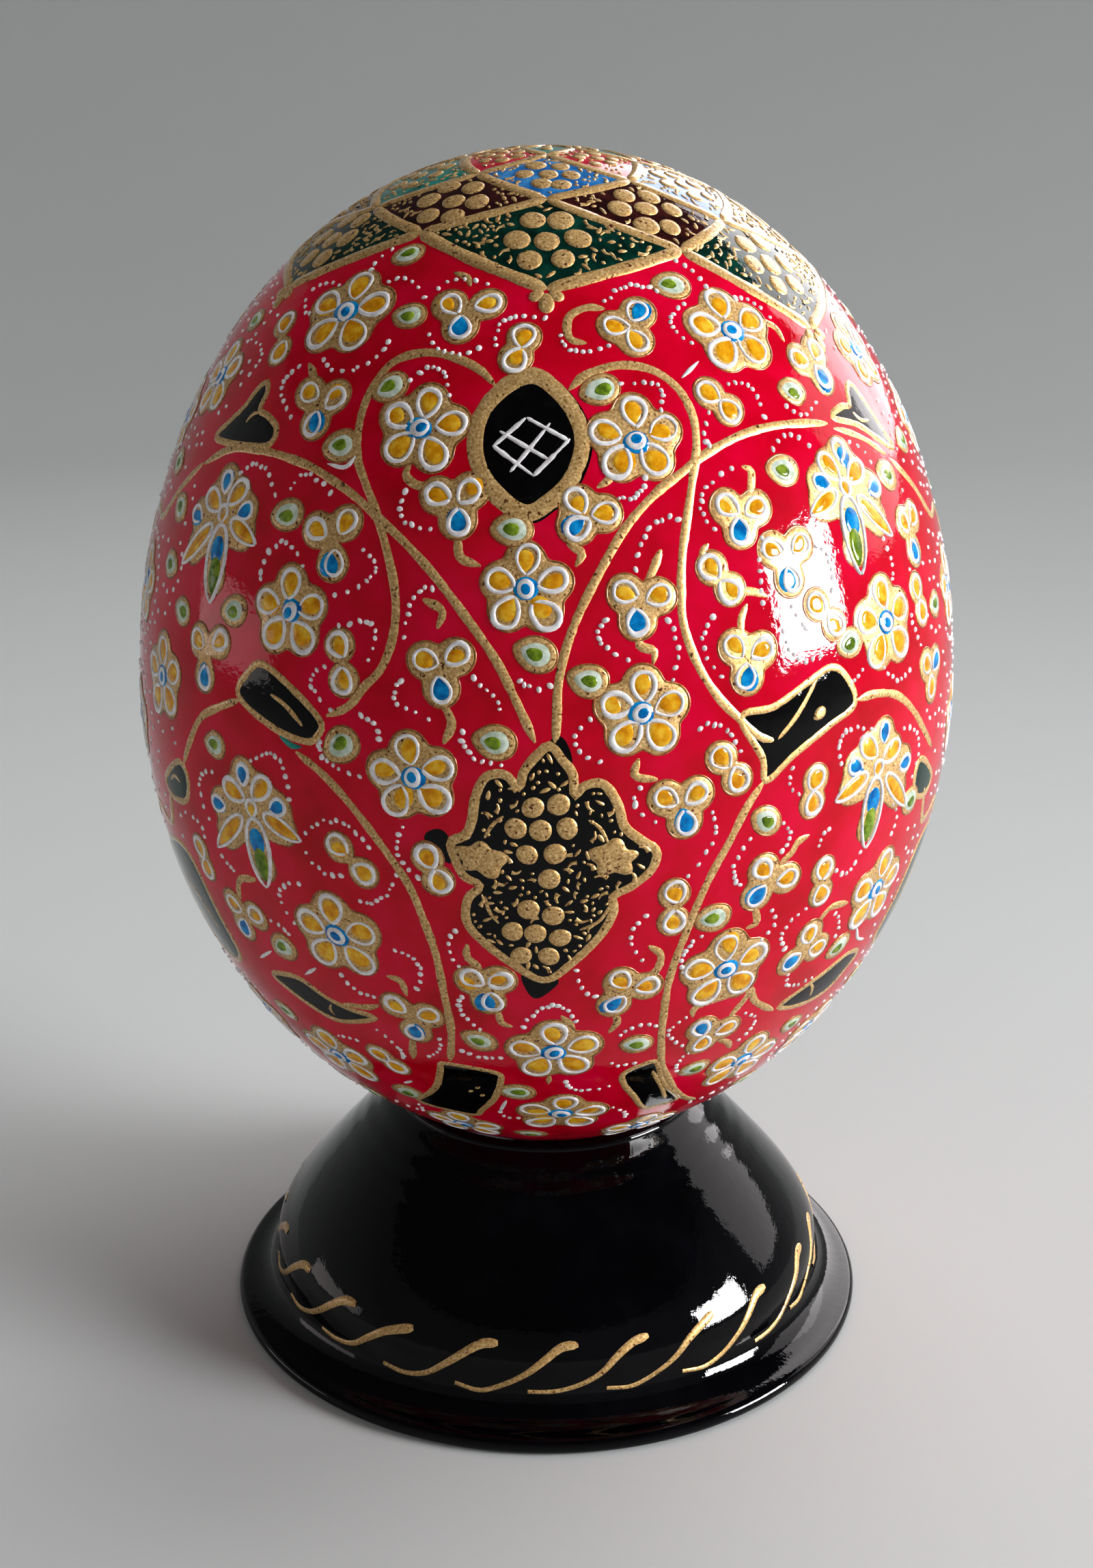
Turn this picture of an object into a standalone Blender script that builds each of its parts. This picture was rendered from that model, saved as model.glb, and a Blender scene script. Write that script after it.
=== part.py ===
"""Lacquered papier-mache egg standing in a turned wooden stand.

The egg is two moulded half shells glued edge to edge over a paper strip that runs round the
inside of the joint. It sits loose in the dished seat of a small bell-shaped foot. Everything is
turned about +Z, which is the egg's long axis, and the foot rests on z = 0. Units are metres.
"""
import math

import bmesh
import bpy

# ---- driving dimensions ----
EGG_WIDTH = 0.0620            # across the egg's widest ring
EGG_HEIGHT = 0.0763           # pole to pole
EGG_BOTTOM = 0.0153           # height of the egg's lower pole above the table
EGG_TAPER = -0.021            # negative: a little fuller below the middle than above
EGG_SHOULDER = 0.031          # keeps the upper end broad near its pole
SHELL_WALL = 0.0022           # papier-mache with its ground and lacquer
STRIP_WALL = 0.0006           # paper strip inside the joint
STRIP_HEIGHT = 0.0120

FOOT_WIDTH = 0.0524           # across the stand's rim on the table
BELLY_WIDTH = 0.0456          # across the widest ring of the bell above the cove
SEAT_WIDTH = 0.0244           # ring on which the egg rests
SEAT_DEPTH = 0.0042           # from that ring down to the bottom of the dish
NECK_LIP = 0.0005             # rounding of the neck's upper edge
BELLY_HEIGHT = 0.0046         # height at which the bell is widest
BELL_CURVE = 0.24             # larger: a rounder shoulder between belly and neck
FLANGE_EDGE = 0.0006          # radius of the flange's rounded rim
COVE_TOP = 0.0036             # where the hollow curve above the flange meets the belly

GAP = 0.0003                  # clear space between pieces that touch
SIDES = 60                    # facets round every turned piece

EGG_MIDDLE = EGG_BOTTOM + EGG_HEIGHT / 2


# ---- profiles, as (radius, height) pairs ----
def egg_radius_height(angle, inset=0.0):
    """Point of the egg's outline; angle runs from 0 at the top pole to pi at the lower one."""
    c = math.cos(angle)
    fullness = 1 + EGG_TAPER * c + EGG_SHOULDER * c ** 3
    radius = (EGG_WIDTH / 2 - inset) * math.sin(angle) * fullness
    height = EGG_MIDDLE + (EGG_HEIGHT / 2 - inset) * c
    return radius, height


def egg_arc(first, last, steps, inset=0.0):
    """Evenly spaced points of the egg's outline from one angle to another."""
    angles = [first + (last - first) * i / steps for i in range(steps + 1)]
    return [egg_radius_height(a, inset) for a in angles]


def angle_at_height(height, inset=0.0):
    """Outline angle at which the egg, or its inner wall, passes a height."""
    c = (height - EGG_MIDDLE) / (EGG_HEIGHT / 2 - inset)
    return math.acos(max(-1.0, min(1.0, c)))


def shell_profile(pole_angle, edge_height):
    """Half shell: outside from the pole to the joint, then back up the inside."""
    outer_edge = angle_at_height(edge_height)
    inner_edge = angle_at_height(edge_height, SHELL_WALL)
    outside = egg_arc(pole_angle, outer_edge, 12)
    inside = egg_arc(inner_edge, pole_angle, 9, SHELL_WALL)
    return outside + inside


def strip_profile():
    """Ring of paper that follows the inner wall across the joint."""
    top = EGG_MIDDLE + STRIP_HEIGHT / 2
    low = EGG_MIDDLE - STRIP_HEIGHT / 2
    near = SHELL_WALL + GAP
    far = near + STRIP_WALL
    back = egg_arc(angle_at_height(top, near), angle_at_height(low, near), 3, near)
    front = egg_arc(angle_at_height(low, far), angle_at_height(top, far), 3, far)
    return back + front


def arc(center, radii, first, last, steps):
    """Points of an elliptical arc; angles in degrees, counted from the outward direction."""
    points = []
    for i in range(steps + 1):
        a = math.radians(first + (last - first) * i / steps)
        points.append((center[0] + radii[0] * math.cos(a), center[1] + radii[1] * math.sin(a)))
    return points


def egg_height_at_radius(radius):
    """Height of the egg's underside over a ring of the seat."""
    return EGG_MIDDLE - EGG_HEIGHT / 2 * math.sqrt(1 - (2 * radius / EGG_WIDTH) ** 2)


def stand_profile():
    """Outside of the stand from the table up to the neck, then the dished seat."""
    foot = FOOT_WIDTH / 2
    belly = BELLY_WIDTH / 2
    seat = SEAT_WIDTH / 2
    rim_height = egg_height_at_radius(seat) - GAP

    # flange: thin rounded rim on the table, then a cove that sweeps up to the belly
    rim = foot - FLANGE_EDGE
    cove_floor = 2 * FLANGE_EDGE
    profile = [(0.0, 0.0)]
    profile += arc((rim, FLANGE_EDGE), (FLANGE_EDGE, FLANGE_EDGE), -90, 80, 4)
    profile += arc((rim, COVE_TOP), (rim - belly, COVE_TOP - cove_floor), 262, 180, 4)
    # bell: upright at its widest ring, then a hyperbola that runs out into a straight neck
    bell_rise = rim_height - NECK_LIP - BELLY_HEIGHT
    for i in range(10):
        s = i / 9
        inward = (math.hypot(s, BELL_CURVE) - BELL_CURVE) / (math.hypot(1, BELL_CURVE) - BELL_CURVE)
        profile.append((belly - (belly - seat - NECK_LIP) * inward, BELLY_HEIGHT + bell_rise * s))
    profile += [(seat, rim_height), (seat - 0.0004, rim_height - 0.0001)]

    # seat: shallow dish that stays clear of the egg's lower pole
    steps = 5
    for i in range(1, steps + 1):
        s = i / steps
        radius = (seat - 0.0004) * (1 - s)
        depth = SEAT_DEPTH * math.sin(s * math.pi / 2) ** 0.9
        profile.append((radius, rim_height - 0.0001 - depth))
    return profile


# ---- solids ----
def turned_mesh(name, profile):
    """Closed solid of revolution; profile ends on the axis close to a point, others to a ring."""
    bm = bmesh.new()
    rings = []
    for radius, height in profile:
        if radius < 1e-6:
            rings.append([bm.verts.new((0.0, 0.0, height))])
            continue
        turn = [2 * math.pi * k / SIDES for k in range(SIDES)]
        rings.append([bm.verts.new((radius * math.cos(a), radius * math.sin(a), height)) for a in turn])
    pairs = list(zip(rings, rings[1:]))
    if len(rings[0]) > 1:
        pairs.append((rings[-1], rings[0]))
    for lower, upper in pairs:
        for k in range(SIDES):
            n = (k + 1) % SIDES
            corners = [lower[k % len(lower)], lower[n % len(lower)],
                       upper[n % len(upper)], upper[k % len(upper)]]
            bm.faces.new(list(dict.fromkeys(corners)))
    bmesh.ops.recalc_face_normals(bm, faces=bm.faces)
    mesh = bpy.data.meshes.new(name)
    bm.to_mesh(mesh)
    bm.free()
    mesh.shade_smooth()
    mesh.set_sharp_from_angle(angle=math.radians(35))
    return mesh


def material(name, color, roughness, metallic=0.0, coat=0.0):
    """Principled material with an optional lacquer coat."""
    mat = bpy.data.materials.new(name)
    mat.use_nodes = True
    shader = mat.node_tree.nodes["Principled BSDF"]
    shader.inputs["Base Color"].default_value = (*color, 1.0)
    shader.inputs["Roughness"].default_value = roughness
    shader.inputs["Metallic"].default_value = metallic
    shader.inputs["Coat Weight"].default_value = coat
    return mat


def add_piece(name, profile, mat, parent=None):
    """Put a turned solid in the scene under its parent, without moving its surface."""
    mesh = turned_mesh(name, profile)
    mesh.materials.append(mat)
    obj = bpy.data.objects.new(name, mesh)
    bpy.context.collection.objects.link(obj)
    if parent is not None:
        for vertex in mesh.vertices:
            vertex.co.z -= parent.location.z
        obj.parent = parent
    return obj


def build():
    for obj in list(bpy.data.objects):
        bpy.data.objects.remove(obj, do_unlink=True)

    black_lacquer = material("black_lacquered_wood", (0.006, 0.006, 0.010), 0.18, coat=1.0)
    red_upper = material("red_lacquer_upper", (0.52, 0.003, 0.008), 0.22, coat=1.0)
    red_lower = material("red_lacquer_lower", (0.50, 0.003, 0.008), 0.22, coat=1.0)
    brown_paper = material("paper_strip", (0.42, 0.33, 0.22), 0.85)

    add_piece("stand_body", stand_profile(), black_lacquer)

    # the egg lifts straight up out of its seat, along this axis
    lift_axis = bpy.data.objects.new("egg_lift_axis", None)
    lift_axis.location = (0.0, 0.0, EGG_BOTTOM)
    bpy.context.collection.objects.link(lift_axis)

    upper = shell_profile(0.0, EGG_MIDDLE + GAP / 2)
    lower = shell_profile(math.pi, EGG_MIDDLE - GAP / 2)
    add_piece("egg_upper_shell", upper, red_upper, lift_axis)
    add_piece("egg_lower_shell", lower, red_lower, lift_axis)
    add_piece("seam_strip", strip_profile(), brown_paper, lift_axis)


build()
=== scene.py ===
"""Looks of a lacquered papier-mache egg in its turned stand.

The egg's painting is built as real, slightly raised paint: each colour is one piece made of
small domed marks, ribbons and flat fields that follow the egg's surface. Places on the egg are
(azimuth, latitude) in degrees, azimuth growing to the viewer's right from the front of the
painting; sizes of marks are in millimetres.
"""
import math

import bpy
import numpy as np
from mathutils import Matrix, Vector
from mathutils.geometry import delaunay_2d_cdt


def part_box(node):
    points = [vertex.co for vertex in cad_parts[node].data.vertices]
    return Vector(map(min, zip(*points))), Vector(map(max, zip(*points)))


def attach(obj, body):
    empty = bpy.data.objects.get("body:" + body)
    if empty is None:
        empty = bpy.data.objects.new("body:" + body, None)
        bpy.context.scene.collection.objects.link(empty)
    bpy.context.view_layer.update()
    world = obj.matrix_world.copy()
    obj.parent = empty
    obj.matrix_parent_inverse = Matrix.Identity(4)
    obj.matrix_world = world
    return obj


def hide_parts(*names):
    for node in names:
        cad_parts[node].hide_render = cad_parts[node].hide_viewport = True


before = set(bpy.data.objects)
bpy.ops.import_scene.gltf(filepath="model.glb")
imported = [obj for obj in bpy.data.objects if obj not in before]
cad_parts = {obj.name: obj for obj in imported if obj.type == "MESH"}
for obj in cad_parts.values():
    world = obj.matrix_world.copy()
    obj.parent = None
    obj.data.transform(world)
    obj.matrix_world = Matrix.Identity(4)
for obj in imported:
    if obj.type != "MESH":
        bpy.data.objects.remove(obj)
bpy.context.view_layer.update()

MM = 0.001
rng = np.random.default_rng(4)

# ---- the egg, from the frame ----
egg_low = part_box("egg_lower_shell")[0]
egg_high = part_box("egg_upper_shell")[1]
EGG_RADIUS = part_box("egg_lower_shell")[1].x
EGG_MIDDLE = (egg_low.z + egg_high.z) / 2
EGG_HALF = (egg_high.z - egg_low.z) / 2
EGG_TAPER = -0.021            # a little fuller below the middle than above
EGG_SHOULDER = 0.031          # broad upper end
SHELL_WALL = 2.2 * MM
DENT = 0.05 * MM              # unevenness of the hand-moulded shell

# ---- the stand, from the frame ----
stand_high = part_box("stand_body")[1]
FOOT = stand_high.x
RIM_HEIGHT = stand_high.z
BELLY = 22.8 * MM
SEAT = 12.2 * MM
SEAT_DEPTH = 4.2 * MM
SEAT_BEVEL = 0.4 * MM
SEAT_DROP = 0.1 * MM          # of the dish's edge below the neck's rim
NECK_LIP = 0.5 * MM
BELLY_HEIGHT = 4.6 * MM
COVE_TOP = 3.6 * MM
FLANGE_EDGE = 0.6 * MM
BELL_CURVE = 0.24
RIPPLE_TURNS = 56             # radians of the turning tool's ripple over the bell's height
RIPPLE_START = 0.55           # share of that height above which the ripple shows
RIPPLE_DEPTH = 0.07           # mm, for a share of 1 above its start

# ---- thickness of the paint above the lacquer ----
FIELD_LIFT = 0.03 * MM
BEAD_LIFT = 0.04 * MM
GOLD_LIFT = 0.045 * MM
STROKE_LIFT = 0.07 * MM       # gold strokes of the stand
COLOUR_LIFT = 0.085 * MM
FLECK_LIFT = 0.09 * MM
DOT_LIFT = 0.10 * MM
LEAF_LIFT = 0.10 * MM         # gold leaves and the pale rings of buds
DISC_LIFT = 0.11 * MM         # blue disc in the middle of a flower
OUTLINE_LIFT = 0.115 * MM
GRAPE_LIFT = 0.12 * MM
BUD_LIFT = 0.13 * MM
OVAL_LIFT = 0.15 * MM         # white oval on the blue disc
HIGH_LIFT = 0.16 * MM         # outline that crosses other paint
CORE_LIFT = 0.18 * MM         # blue core of the white oval


# ======== surfaces ========
def dents(points):
    """Slow unevenness of the moulded shell, between about -1 and 1."""
    x, y, z = points[..., 0] / 0.009, points[..., 1] / 0.009, points[..., 2] / 0.011
    return (np.sin(x + 1.3 * np.sin(z)) + np.sin(1.7 * y - z) + np.sin(1.3 * z + 0.8 * x * y)) / 3


def egg_outline(lat):
    """The egg's radius and height at a latitude, and how fast they grow and sink on the way down."""
    down = np.radians(90.0 - np.asarray(lat, float))
    s, c = np.sin(down), np.cos(down)
    full = 1 + EGG_TAPER * c + EGG_SHOULDER * c ** 3
    grow = EGG_RADIUS * (c * full - s * s * (EGG_TAPER + 3 * EGG_SHOULDER * c * c))
    return EGG_RADIUS * s * full, EGG_MIDDLE + EGG_HALF * c, grow, EGG_HALF * s


def turned(radius, turn, height):
    """Points at a radius and height, at an angle to the viewer's right from the front."""
    return np.stack([radius * np.sin(turn), -radius * np.cos(turn), height], axis=-1)


def egg_surface(az, lat):
    """Points on the egg's lacquer and its outward directions."""
    turn = np.radians(np.asarray(az, float))
    radius, height, grow, sink = egg_outline(lat)
    size = np.hypot(grow, sink)
    points = turned(radius, turn, height)
    normals = turned(sink / size, turn, grow / size)
    return points + normals * (DENT * dents(points))[..., None], normals


def degrees_per_mm(lat):
    """Degrees of azimuth and of latitude in one millimetre, at a latitude."""
    radius, _, grow, sink = egg_outline(lat)
    return np.degrees(MM / np.maximum(radius, 0.5 * MM)), np.degrees(MM / np.hypot(grow, sink))


def arc(center, radii, first, last, steps):
    """Points of an elliptical arc; angles in degrees, counted from the outward direction."""
    angles = np.radians(np.linspace(first, last, steps + 1))
    return [(center[0] + radii[0] * math.cos(a), center[1] + radii[1] * math.sin(a)) for a in angles]


def stand_outside():
    """Outside of the stand, (radius, height) from the table up to the neck's rim."""
    rim = FOOT - FLANGE_EDGE
    profile = arc((rim, FLANGE_EDGE), (FLANGE_EDGE, FLANGE_EDGE), -90, 80, 12)
    profile += arc((rim, COVE_TOP), (rim - BELLY, COVE_TOP - 2 * FLANGE_EDGE), 262, 180, 14)
    rise = RIM_HEIGHT - NECK_LIP - BELLY_HEIGHT
    steps = 90
    for i in range(steps + 1):
        s = i / steps
        inward = (math.hypot(s, BELL_CURVE) - BELL_CURVE) / (math.hypot(1, BELL_CURVE) - BELL_CURVE)
        radius = BELLY - (BELLY - SEAT - NECK_LIP) * inward
        # shallow rings left by the turning tool, stronger towards the neck
        ripple = math.sin(s * RIPPLE_TURNS) * max(0.0, s - RIPPLE_START) * RIPPLE_DEPTH * MM
        profile.append((radius + ripple, BELLY_HEIGHT + rise * s))
    return profile


def bell_surface(az, height):
    """Points on the outside of the stand at a height in millimetres, and outward directions."""
    radii, heights = np.array([p for p in stand_outside() if p[1] > 2 * FLANGE_EDGE]).T
    turn = np.radians(np.asarray(az, float))
    z = np.asarray(height, float) * MM
    above, here, below = [np.interp(z + step, heights, radii) for step in (0.1 * MM, 0, -0.1 * MM)]
    slope = (above - below) / (0.2 * MM)
    return turned(here, turn, z), turned(1, turn, -slope) / np.hypot(1, slope)[..., None]


# ======== meshes ========
def mesh_object(name, points, faces, normals=None):
    """Smooth-shaded object from points and faces."""
    mesh = bpy.data.meshes.new(name)
    mesh.from_pydata(np.asarray(points).tolist(), [], faces)
    mesh.validate()
    mesh.shade_smooth()
    if normals is not None:
        mesh.normals_split_custom_set_from_vertices(np.asarray(normals).tolist())
    obj = bpy.data.objects.new(name, mesh)
    bpy.context.scene.collection.objects.link(obj)
    return obj


def turned_faces(rows, sides):
    """Quads of a grid of rings, counter-clockwise seen from outside when rows run downwards."""
    r, k = np.meshgrid(np.arange(rows - 1), np.arange(sides), indexing="ij")
    n = (k + 1) % sides
    quads = np.stack([r * sides + k, (r + 1) * sides + k, (r + 1) * sides + n, r * sides + n], axis=-1)
    return quads.reshape(-1, 4)


def half_skin(name, first_lat, last_lat, rows=150, inner_rows=12, sides=288):
    """One half of the lacquered shell: its outside from pole to joint, and its inner wall."""
    turn = np.linspace(0, 360, sides, endpoint=False)
    lats = np.linspace(first_lat, last_lat, rows)
    outer, outer_normals = egg_surface(*np.meshgrid(turn, lats))
    inner_lats = np.linspace(last_lat, first_lat, inner_rows)
    inner, inner_normals = egg_surface(*np.meshgrid(turn, inner_lats))
    inner = inner - inner_normals * SHELL_WALL
    points = np.concatenate([outer, inner]).reshape(-1, 3)
    normals = np.concatenate([outer_normals, -inner_normals]).reshape(-1, 3)
    normals[:rows * sides] = dented_normals(points[:rows * sides], normals[:rows * sides])
    faces = turned_faces(rows + inner_rows, sides).tolist()
    faces += [list(range(sides)), list(range(len(points) - 1, len(points) - 1 - sides, -1))]
    if first_lat < last_lat:
        faces = [face[::-1] for face in faces]
    return mesh_object(name, points, faces, normals)


def dented_normals(points, normals):
    """Outward directions of the uneven shell, from the slope of its dents."""
    step = 0.2 * MM
    slope = np.zeros_like(points)
    for axis in range(3):
        ahead = points.copy()
        ahead[:, axis] += step
        slope[:, axis] = (dents(ahead) - dents(points)) * DENT / step
    slope -= (slope * normals).sum(1, keepdims=True) * normals
    bent = normals - slope
    return bent / np.linalg.norm(bent, axis=1, keepdims=True)


def stand_piece():
    """The turned stand with a fine profile: outside, rim, dished seat and flat underside."""
    underside = [(FOOT * s, 0.0) for s in (0.003, 0.4, 0.8)]
    lip = arc((SEAT, RIM_HEIGHT - NECK_LIP), (NECK_LIP, NECK_LIP), 15, 90, 5)
    dish = [(SEAT - SEAT_BEVEL, RIM_HEIGHT - SEAT_DROP)]
    for s in np.linspace(0.08, 0.995, 14):
        depth = SEAT_DEPTH * math.sin(s * math.pi / 2) ** 0.9
        dish.append(((SEAT - SEAT_BEVEL) * (1 - s), RIM_HEIGHT - SEAT_DROP - depth))
    profile = np.array(underside + stand_outside() + lip + dish)
    sides = 240
    turn = np.radians(np.linspace(0, 360, sides, endpoint=False))
    wander = 1 + 0.0006 * np.sin(3 * turn + 1) + 0.0004 * np.sin(5 * turn)
    points = turned(profile[:, :1] * wander, turn, np.repeat(profile[:, 1:], sides, axis=1))
    points = points.reshape(-1, 3)
    faces = turned_faces(len(profile), sides)[:, ::-1].tolist()
    faces += [list(range(sides))[::-1], list(range(len(points) - sides, len(points)))]
    obj = mesh_object("turned_stand", points, faces)
    obj.data.set_sharp_from_angle(angle=math.radians(40))
    return obj


class Paint:
    """Marks of one colour of paint on one surface, gathered into one piece."""

    def __init__(self, name, surface=egg_surface):
        self.name = name
        self.surface = surface
        self.points = []
        self.faces = []
        self.count = 0

    def add(self, points, faces):
        points = points.reshape(-1, 3)
        self.points.append(points)
        self.faces += [tuple(c + self.count for c in face) for face in faces]
        self.count += len(points)

    def ribbon(self, path, widths, height, closed=False):
        """Raised brush line along (azimuth, latitude) points, with a width in mm at each."""
        points, normals = self.surface(path[:, 0], path[:, 1])
        if closed:
            ahead = np.roll(points, -1, axis=0) - np.roll(points, 1, axis=0)
        else:
            ahead = np.gradient(points, axis=0)
        side = np.cross(ahead, normals)
        side /= np.linalg.norm(side, axis=1, keepdims=True) + 1e-12
        across = np.array([-1, -0.72, 0, 0.72, 1])
        rise = np.array([-0.4, 0.82, 1, 0.82, -0.4])
        half = np.asarray(widths)[:, None, None] * MM / 2
        lift = height * np.minimum(1, widths / np.median(widths))[:, None, None]
        rows = points[:, None] + side[:, None] * half * across[:, None]
        rows = rows + normals[:, None] * lift * rise[:, None]
        n, m = len(path), len(across)
        last = n if closed else n - 1
        faces = []
        for i in range(last):
            j = (i + 1) % n
            faces += [(i * m + k, i * m + k + 1, j * m + k + 1, j * m + k) for k in range(m - 1)]
        self.add(rows, faces)

    def dome(self, az, lat, steps, height, lifts, flipped):
        """Raised mark from rings of (ring, point) places; the last row is the middle point."""
        points, normals = self.surface(az, lat)
        lift = np.repeat(np.append(lifts, 1.0), [steps] * len(lifts) + [1]) * height
        points = points + normals * lift[:, None]
        faces = []
        rings = len(lifts)
        for r in range(rings - 1):
            for k in range(steps):
                n = (k + 1) % steps
                faces.append((r * steps + k, r * steps + n, (r + 1) * steps + n, (r + 1) * steps + k))
        top = rings * steps
        faces += [((rings - 1) * steps + k, (rings - 1) * steps + (k + 1) % steps, top)
                  for k in range(steps)]
        if flipped:
            faces = [face[::-1] for face in faces]
        self.add(points, faces)

    def piece(self, material, body, slot):
        obj = mesh_object(self.name, np.concatenate(self.points), self.faces)
        obj.data.materials.append(material)
        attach(obj, body)


# ---- outlines, in millimetres round their own middle ----
def wobble(count, amount):
    """Uneven factor round a closed outline, as a hand-held brush leaves it."""
    a = np.linspace(0, 2 * np.pi, count, endpoint=False)
    total = np.zeros(count)
    for wave in range(2, 7):
        total += rng.normal() * np.cos(wave * a + rng.uniform(0, 2 * np.pi)) / wave
    return (1 + amount * total)[:, None]


def drop(length, width, aim, point=0.3, count=16):
    """Drop whose round end looks along aim, in degrees; point 0 is an oval, 1 a sharp tear."""
    a = np.linspace(0, 2 * np.pi, count, endpoint=False)
    x = length / 2 * np.cos(a)
    y = width / 2 * np.sin(a) * np.abs(np.cos(a / 2)) ** point * (1 + 0.3 * point)
    c, s = math.cos(math.radians(aim)), math.sin(math.radians(aim))
    return np.stack([x * c - y * s, x * s + y * c], axis=1)


def blot(length, width, aim, point, count, uneven, size=1.0):
    """Drop with the uneven edge of wet paint."""
    return drop(length, width, aim, point, count) * size * wobble(count, uneven)


def halo(circles, margin, count):
    """Outline round a group of circles, each (x, y, radius)."""
    a = np.linspace(0, 2 * np.pi, count, endpoint=False)
    ray = np.stack([np.cos(a), np.sin(a)], axis=1)
    reach = np.full(count, margin)
    for x, y, radius in circles:
        along = ray @ (x, y)
        across = np.abs(ray[:, 0] * y - ray[:, 1] * x)
        inside = np.maximum((radius + margin) ** 2 - across ** 2, 0)
        reach = np.maximum(reach, np.where(across < radius + margin, along + np.sqrt(inside), 0))
    reach = (np.roll(reach, 1) + 2 * reach + np.roll(reach, -1)) / 4
    return ray * reach[:, None] * wobble(count, 0.022)


def smooth(path, closed=False, step=0.35, surface=egg_surface):
    """Evenly spaced points of a soft curve through the given ones; step in millimetres."""
    p = np.array(path, float)
    if closed:
        ends = np.vstack([p[-1:], p, p[:2]])
    else:
        ends = np.vstack([2 * p[0] - p[1], p, 2 * p[-1] - p[-2]])
    t = np.linspace(0, 1, 10, endpoint=False)[:, None]
    curve = []
    for a, b, c, d in zip(ends, ends[1:], ends[2:], ends[3:]):
        curve.append(0.5 * (2 * b + (c - a) * t + (2 * a - 5 * b + 4 * c - d) * t ** 2
                            + (3 * b - a - 3 * c + d) * t ** 3))
    curve.append(p[:1] if closed else p[-1:])
    dense = np.vstack(curve)
    spots = surface(dense[:, 0], dense[:, 1])[0]
    run = np.append(0, np.cumsum(np.linalg.norm(np.diff(spots, axis=0), axis=1)))
    count = max(4, int(run[-1] / (step * MM)))
    at = np.linspace(0, run[-1], count + 1)[:count if closed else count + 1]
    return np.stack([np.interp(at, run, dense[:, 0]), np.interp(at, run, dense[:, 1])], axis=1)


def brush_widths(count, width, ends=3, uneven=0.08):
    """Width along an open brush line: soft at both ends and slightly uneven between."""
    i = np.arange(count)
    near_end = np.minimum(i, count - 1 - i)
    shape = np.sqrt(np.clip((near_end + 0.15) / ends, 0, 1))
    sway = 1 + uneven * np.sin(i * 0.55 + rng.uniform(0, 6)) + uneven * rng.normal(size=count) * 0.5
    return width * shape * sway


# ======== materials ========
def tone(r, g, b):
    """Scene colour of a display colour given as 0 to 255."""
    values = [v / 255 for v in (r, g, b)]
    return (*[v / 12.92 if v <= 0.04045 else ((v + 0.055) / 1.055) ** 2.4 for v in values], 1.0)


def set_inputs(node, values):
    """Give a node's inputs their values by name."""
    for name, value in values.items():
        node.inputs[name].default_value = value


def varnished(name, tones, grain, roughness=0.4, metallic=0.0, relief=0.010, pits=None,
              coat=1.0, coat_roughness=0.03, peel=0.016):
    """Paint under clear varnish.

    tones: display colours from dark to light, spread by noise patches of size grain (mm);
    relief: depth of the paint's own roughness (mm); pits: (colour, size in mm, share) of small
    bare spots; peel: depth (mm) of the varnish's slow waves.
    """
    mat = bpy.data.materials.new(name)
    mat.use_nodes = True
    nodes, links = mat.node_tree.nodes, mat.node_tree.links
    shader = nodes["Principled BSDF"]
    place = nodes.new("ShaderNodeTexCoord")

    def noise(size, detail=3.0):
        node = nodes.new("ShaderNodeTexNoise")
        set_inputs(node, {"Scale": 1 / (size * MM), "Detail": detail, "Roughness": 0.62})
        links.new(place.outputs["Object"], node.inputs["Vector"])
        return node.outputs["Fac"]

    ramp = nodes.new("ShaderNodeValToRGB")
    ramp.color_ramp.elements[0].color = tone(*tones[0])
    ramp.color_ramp.elements[0].position = 0.32
    ramp.color_ramp.elements[1].color = tone(*tones[-1])
    ramp.color_ramp.elements[1].position = 0.68
    for i, between in enumerate(tones[1:-1], 1):
        spot = ramp.color_ramp.elements.new(0.32 + 0.36 * i / (len(tones) - 1))
        spot.color = tone(*between)
    links.new(noise(grain), ramp.inputs["Fac"])
    colour = ramp.outputs["Color"]
    if pits:
        pit_colour, pit_size, share = pits
        edge = nodes.new("ShaderNodeMapRange")
        set_inputs(edge, {"From Min": 0.34 + share * 0.5, "From Max": 0.30 + share * 0.5})
        links.new(noise(pit_size, 2.0), edge.inputs["Value"])
        mix = nodes.new("ShaderNodeMix")
        mix.data_type = "RGBA"
        set_inputs(mix, {"B": tone(*pit_colour)})
        links.new(edge.outputs["Result"], mix.inputs["Factor"])
        links.new(colour, mix.inputs["A"])
        colour = mix.outputs["Result"]
    links.new(colour, shader.inputs["Base Color"])

    rough = nodes.new("ShaderNodeMapRange")
    set_inputs(rough, {"To Min": roughness * 0.8, "To Max": roughness * 1.2})
    links.new(noise(grain * 0.7), rough.inputs["Value"])
    links.new(rough.outputs["Result"], shader.inputs["Roughness"])

    def bump(height, depth, below=None):
        node = nodes.new("ShaderNodeBump")
        set_inputs(node, {"Distance": depth * MM})
        links.new(height, node.inputs["Height"])
        if below:
            links.new(below, node.inputs["Normal"])
        return node.outputs["Normal"]

    waves = bump(noise(2.6, 2.0), peel)
    wrinkles = bump(noise(0.85, 3.0), peel * 1.2, waves)
    links.new(wrinkles, shader.inputs["Coat Normal"])
    links.new(bump(noise(grain * 0.5), relief, waves), shader.inputs["Normal"])
    set_inputs(shader, {"Metallic": metallic, "Coat Weight": coat, "Coat Roughness": coat_roughness,
                        "Coat IOR": 1.24, "Specular IOR Level": 0.0})
    return mat


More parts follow.
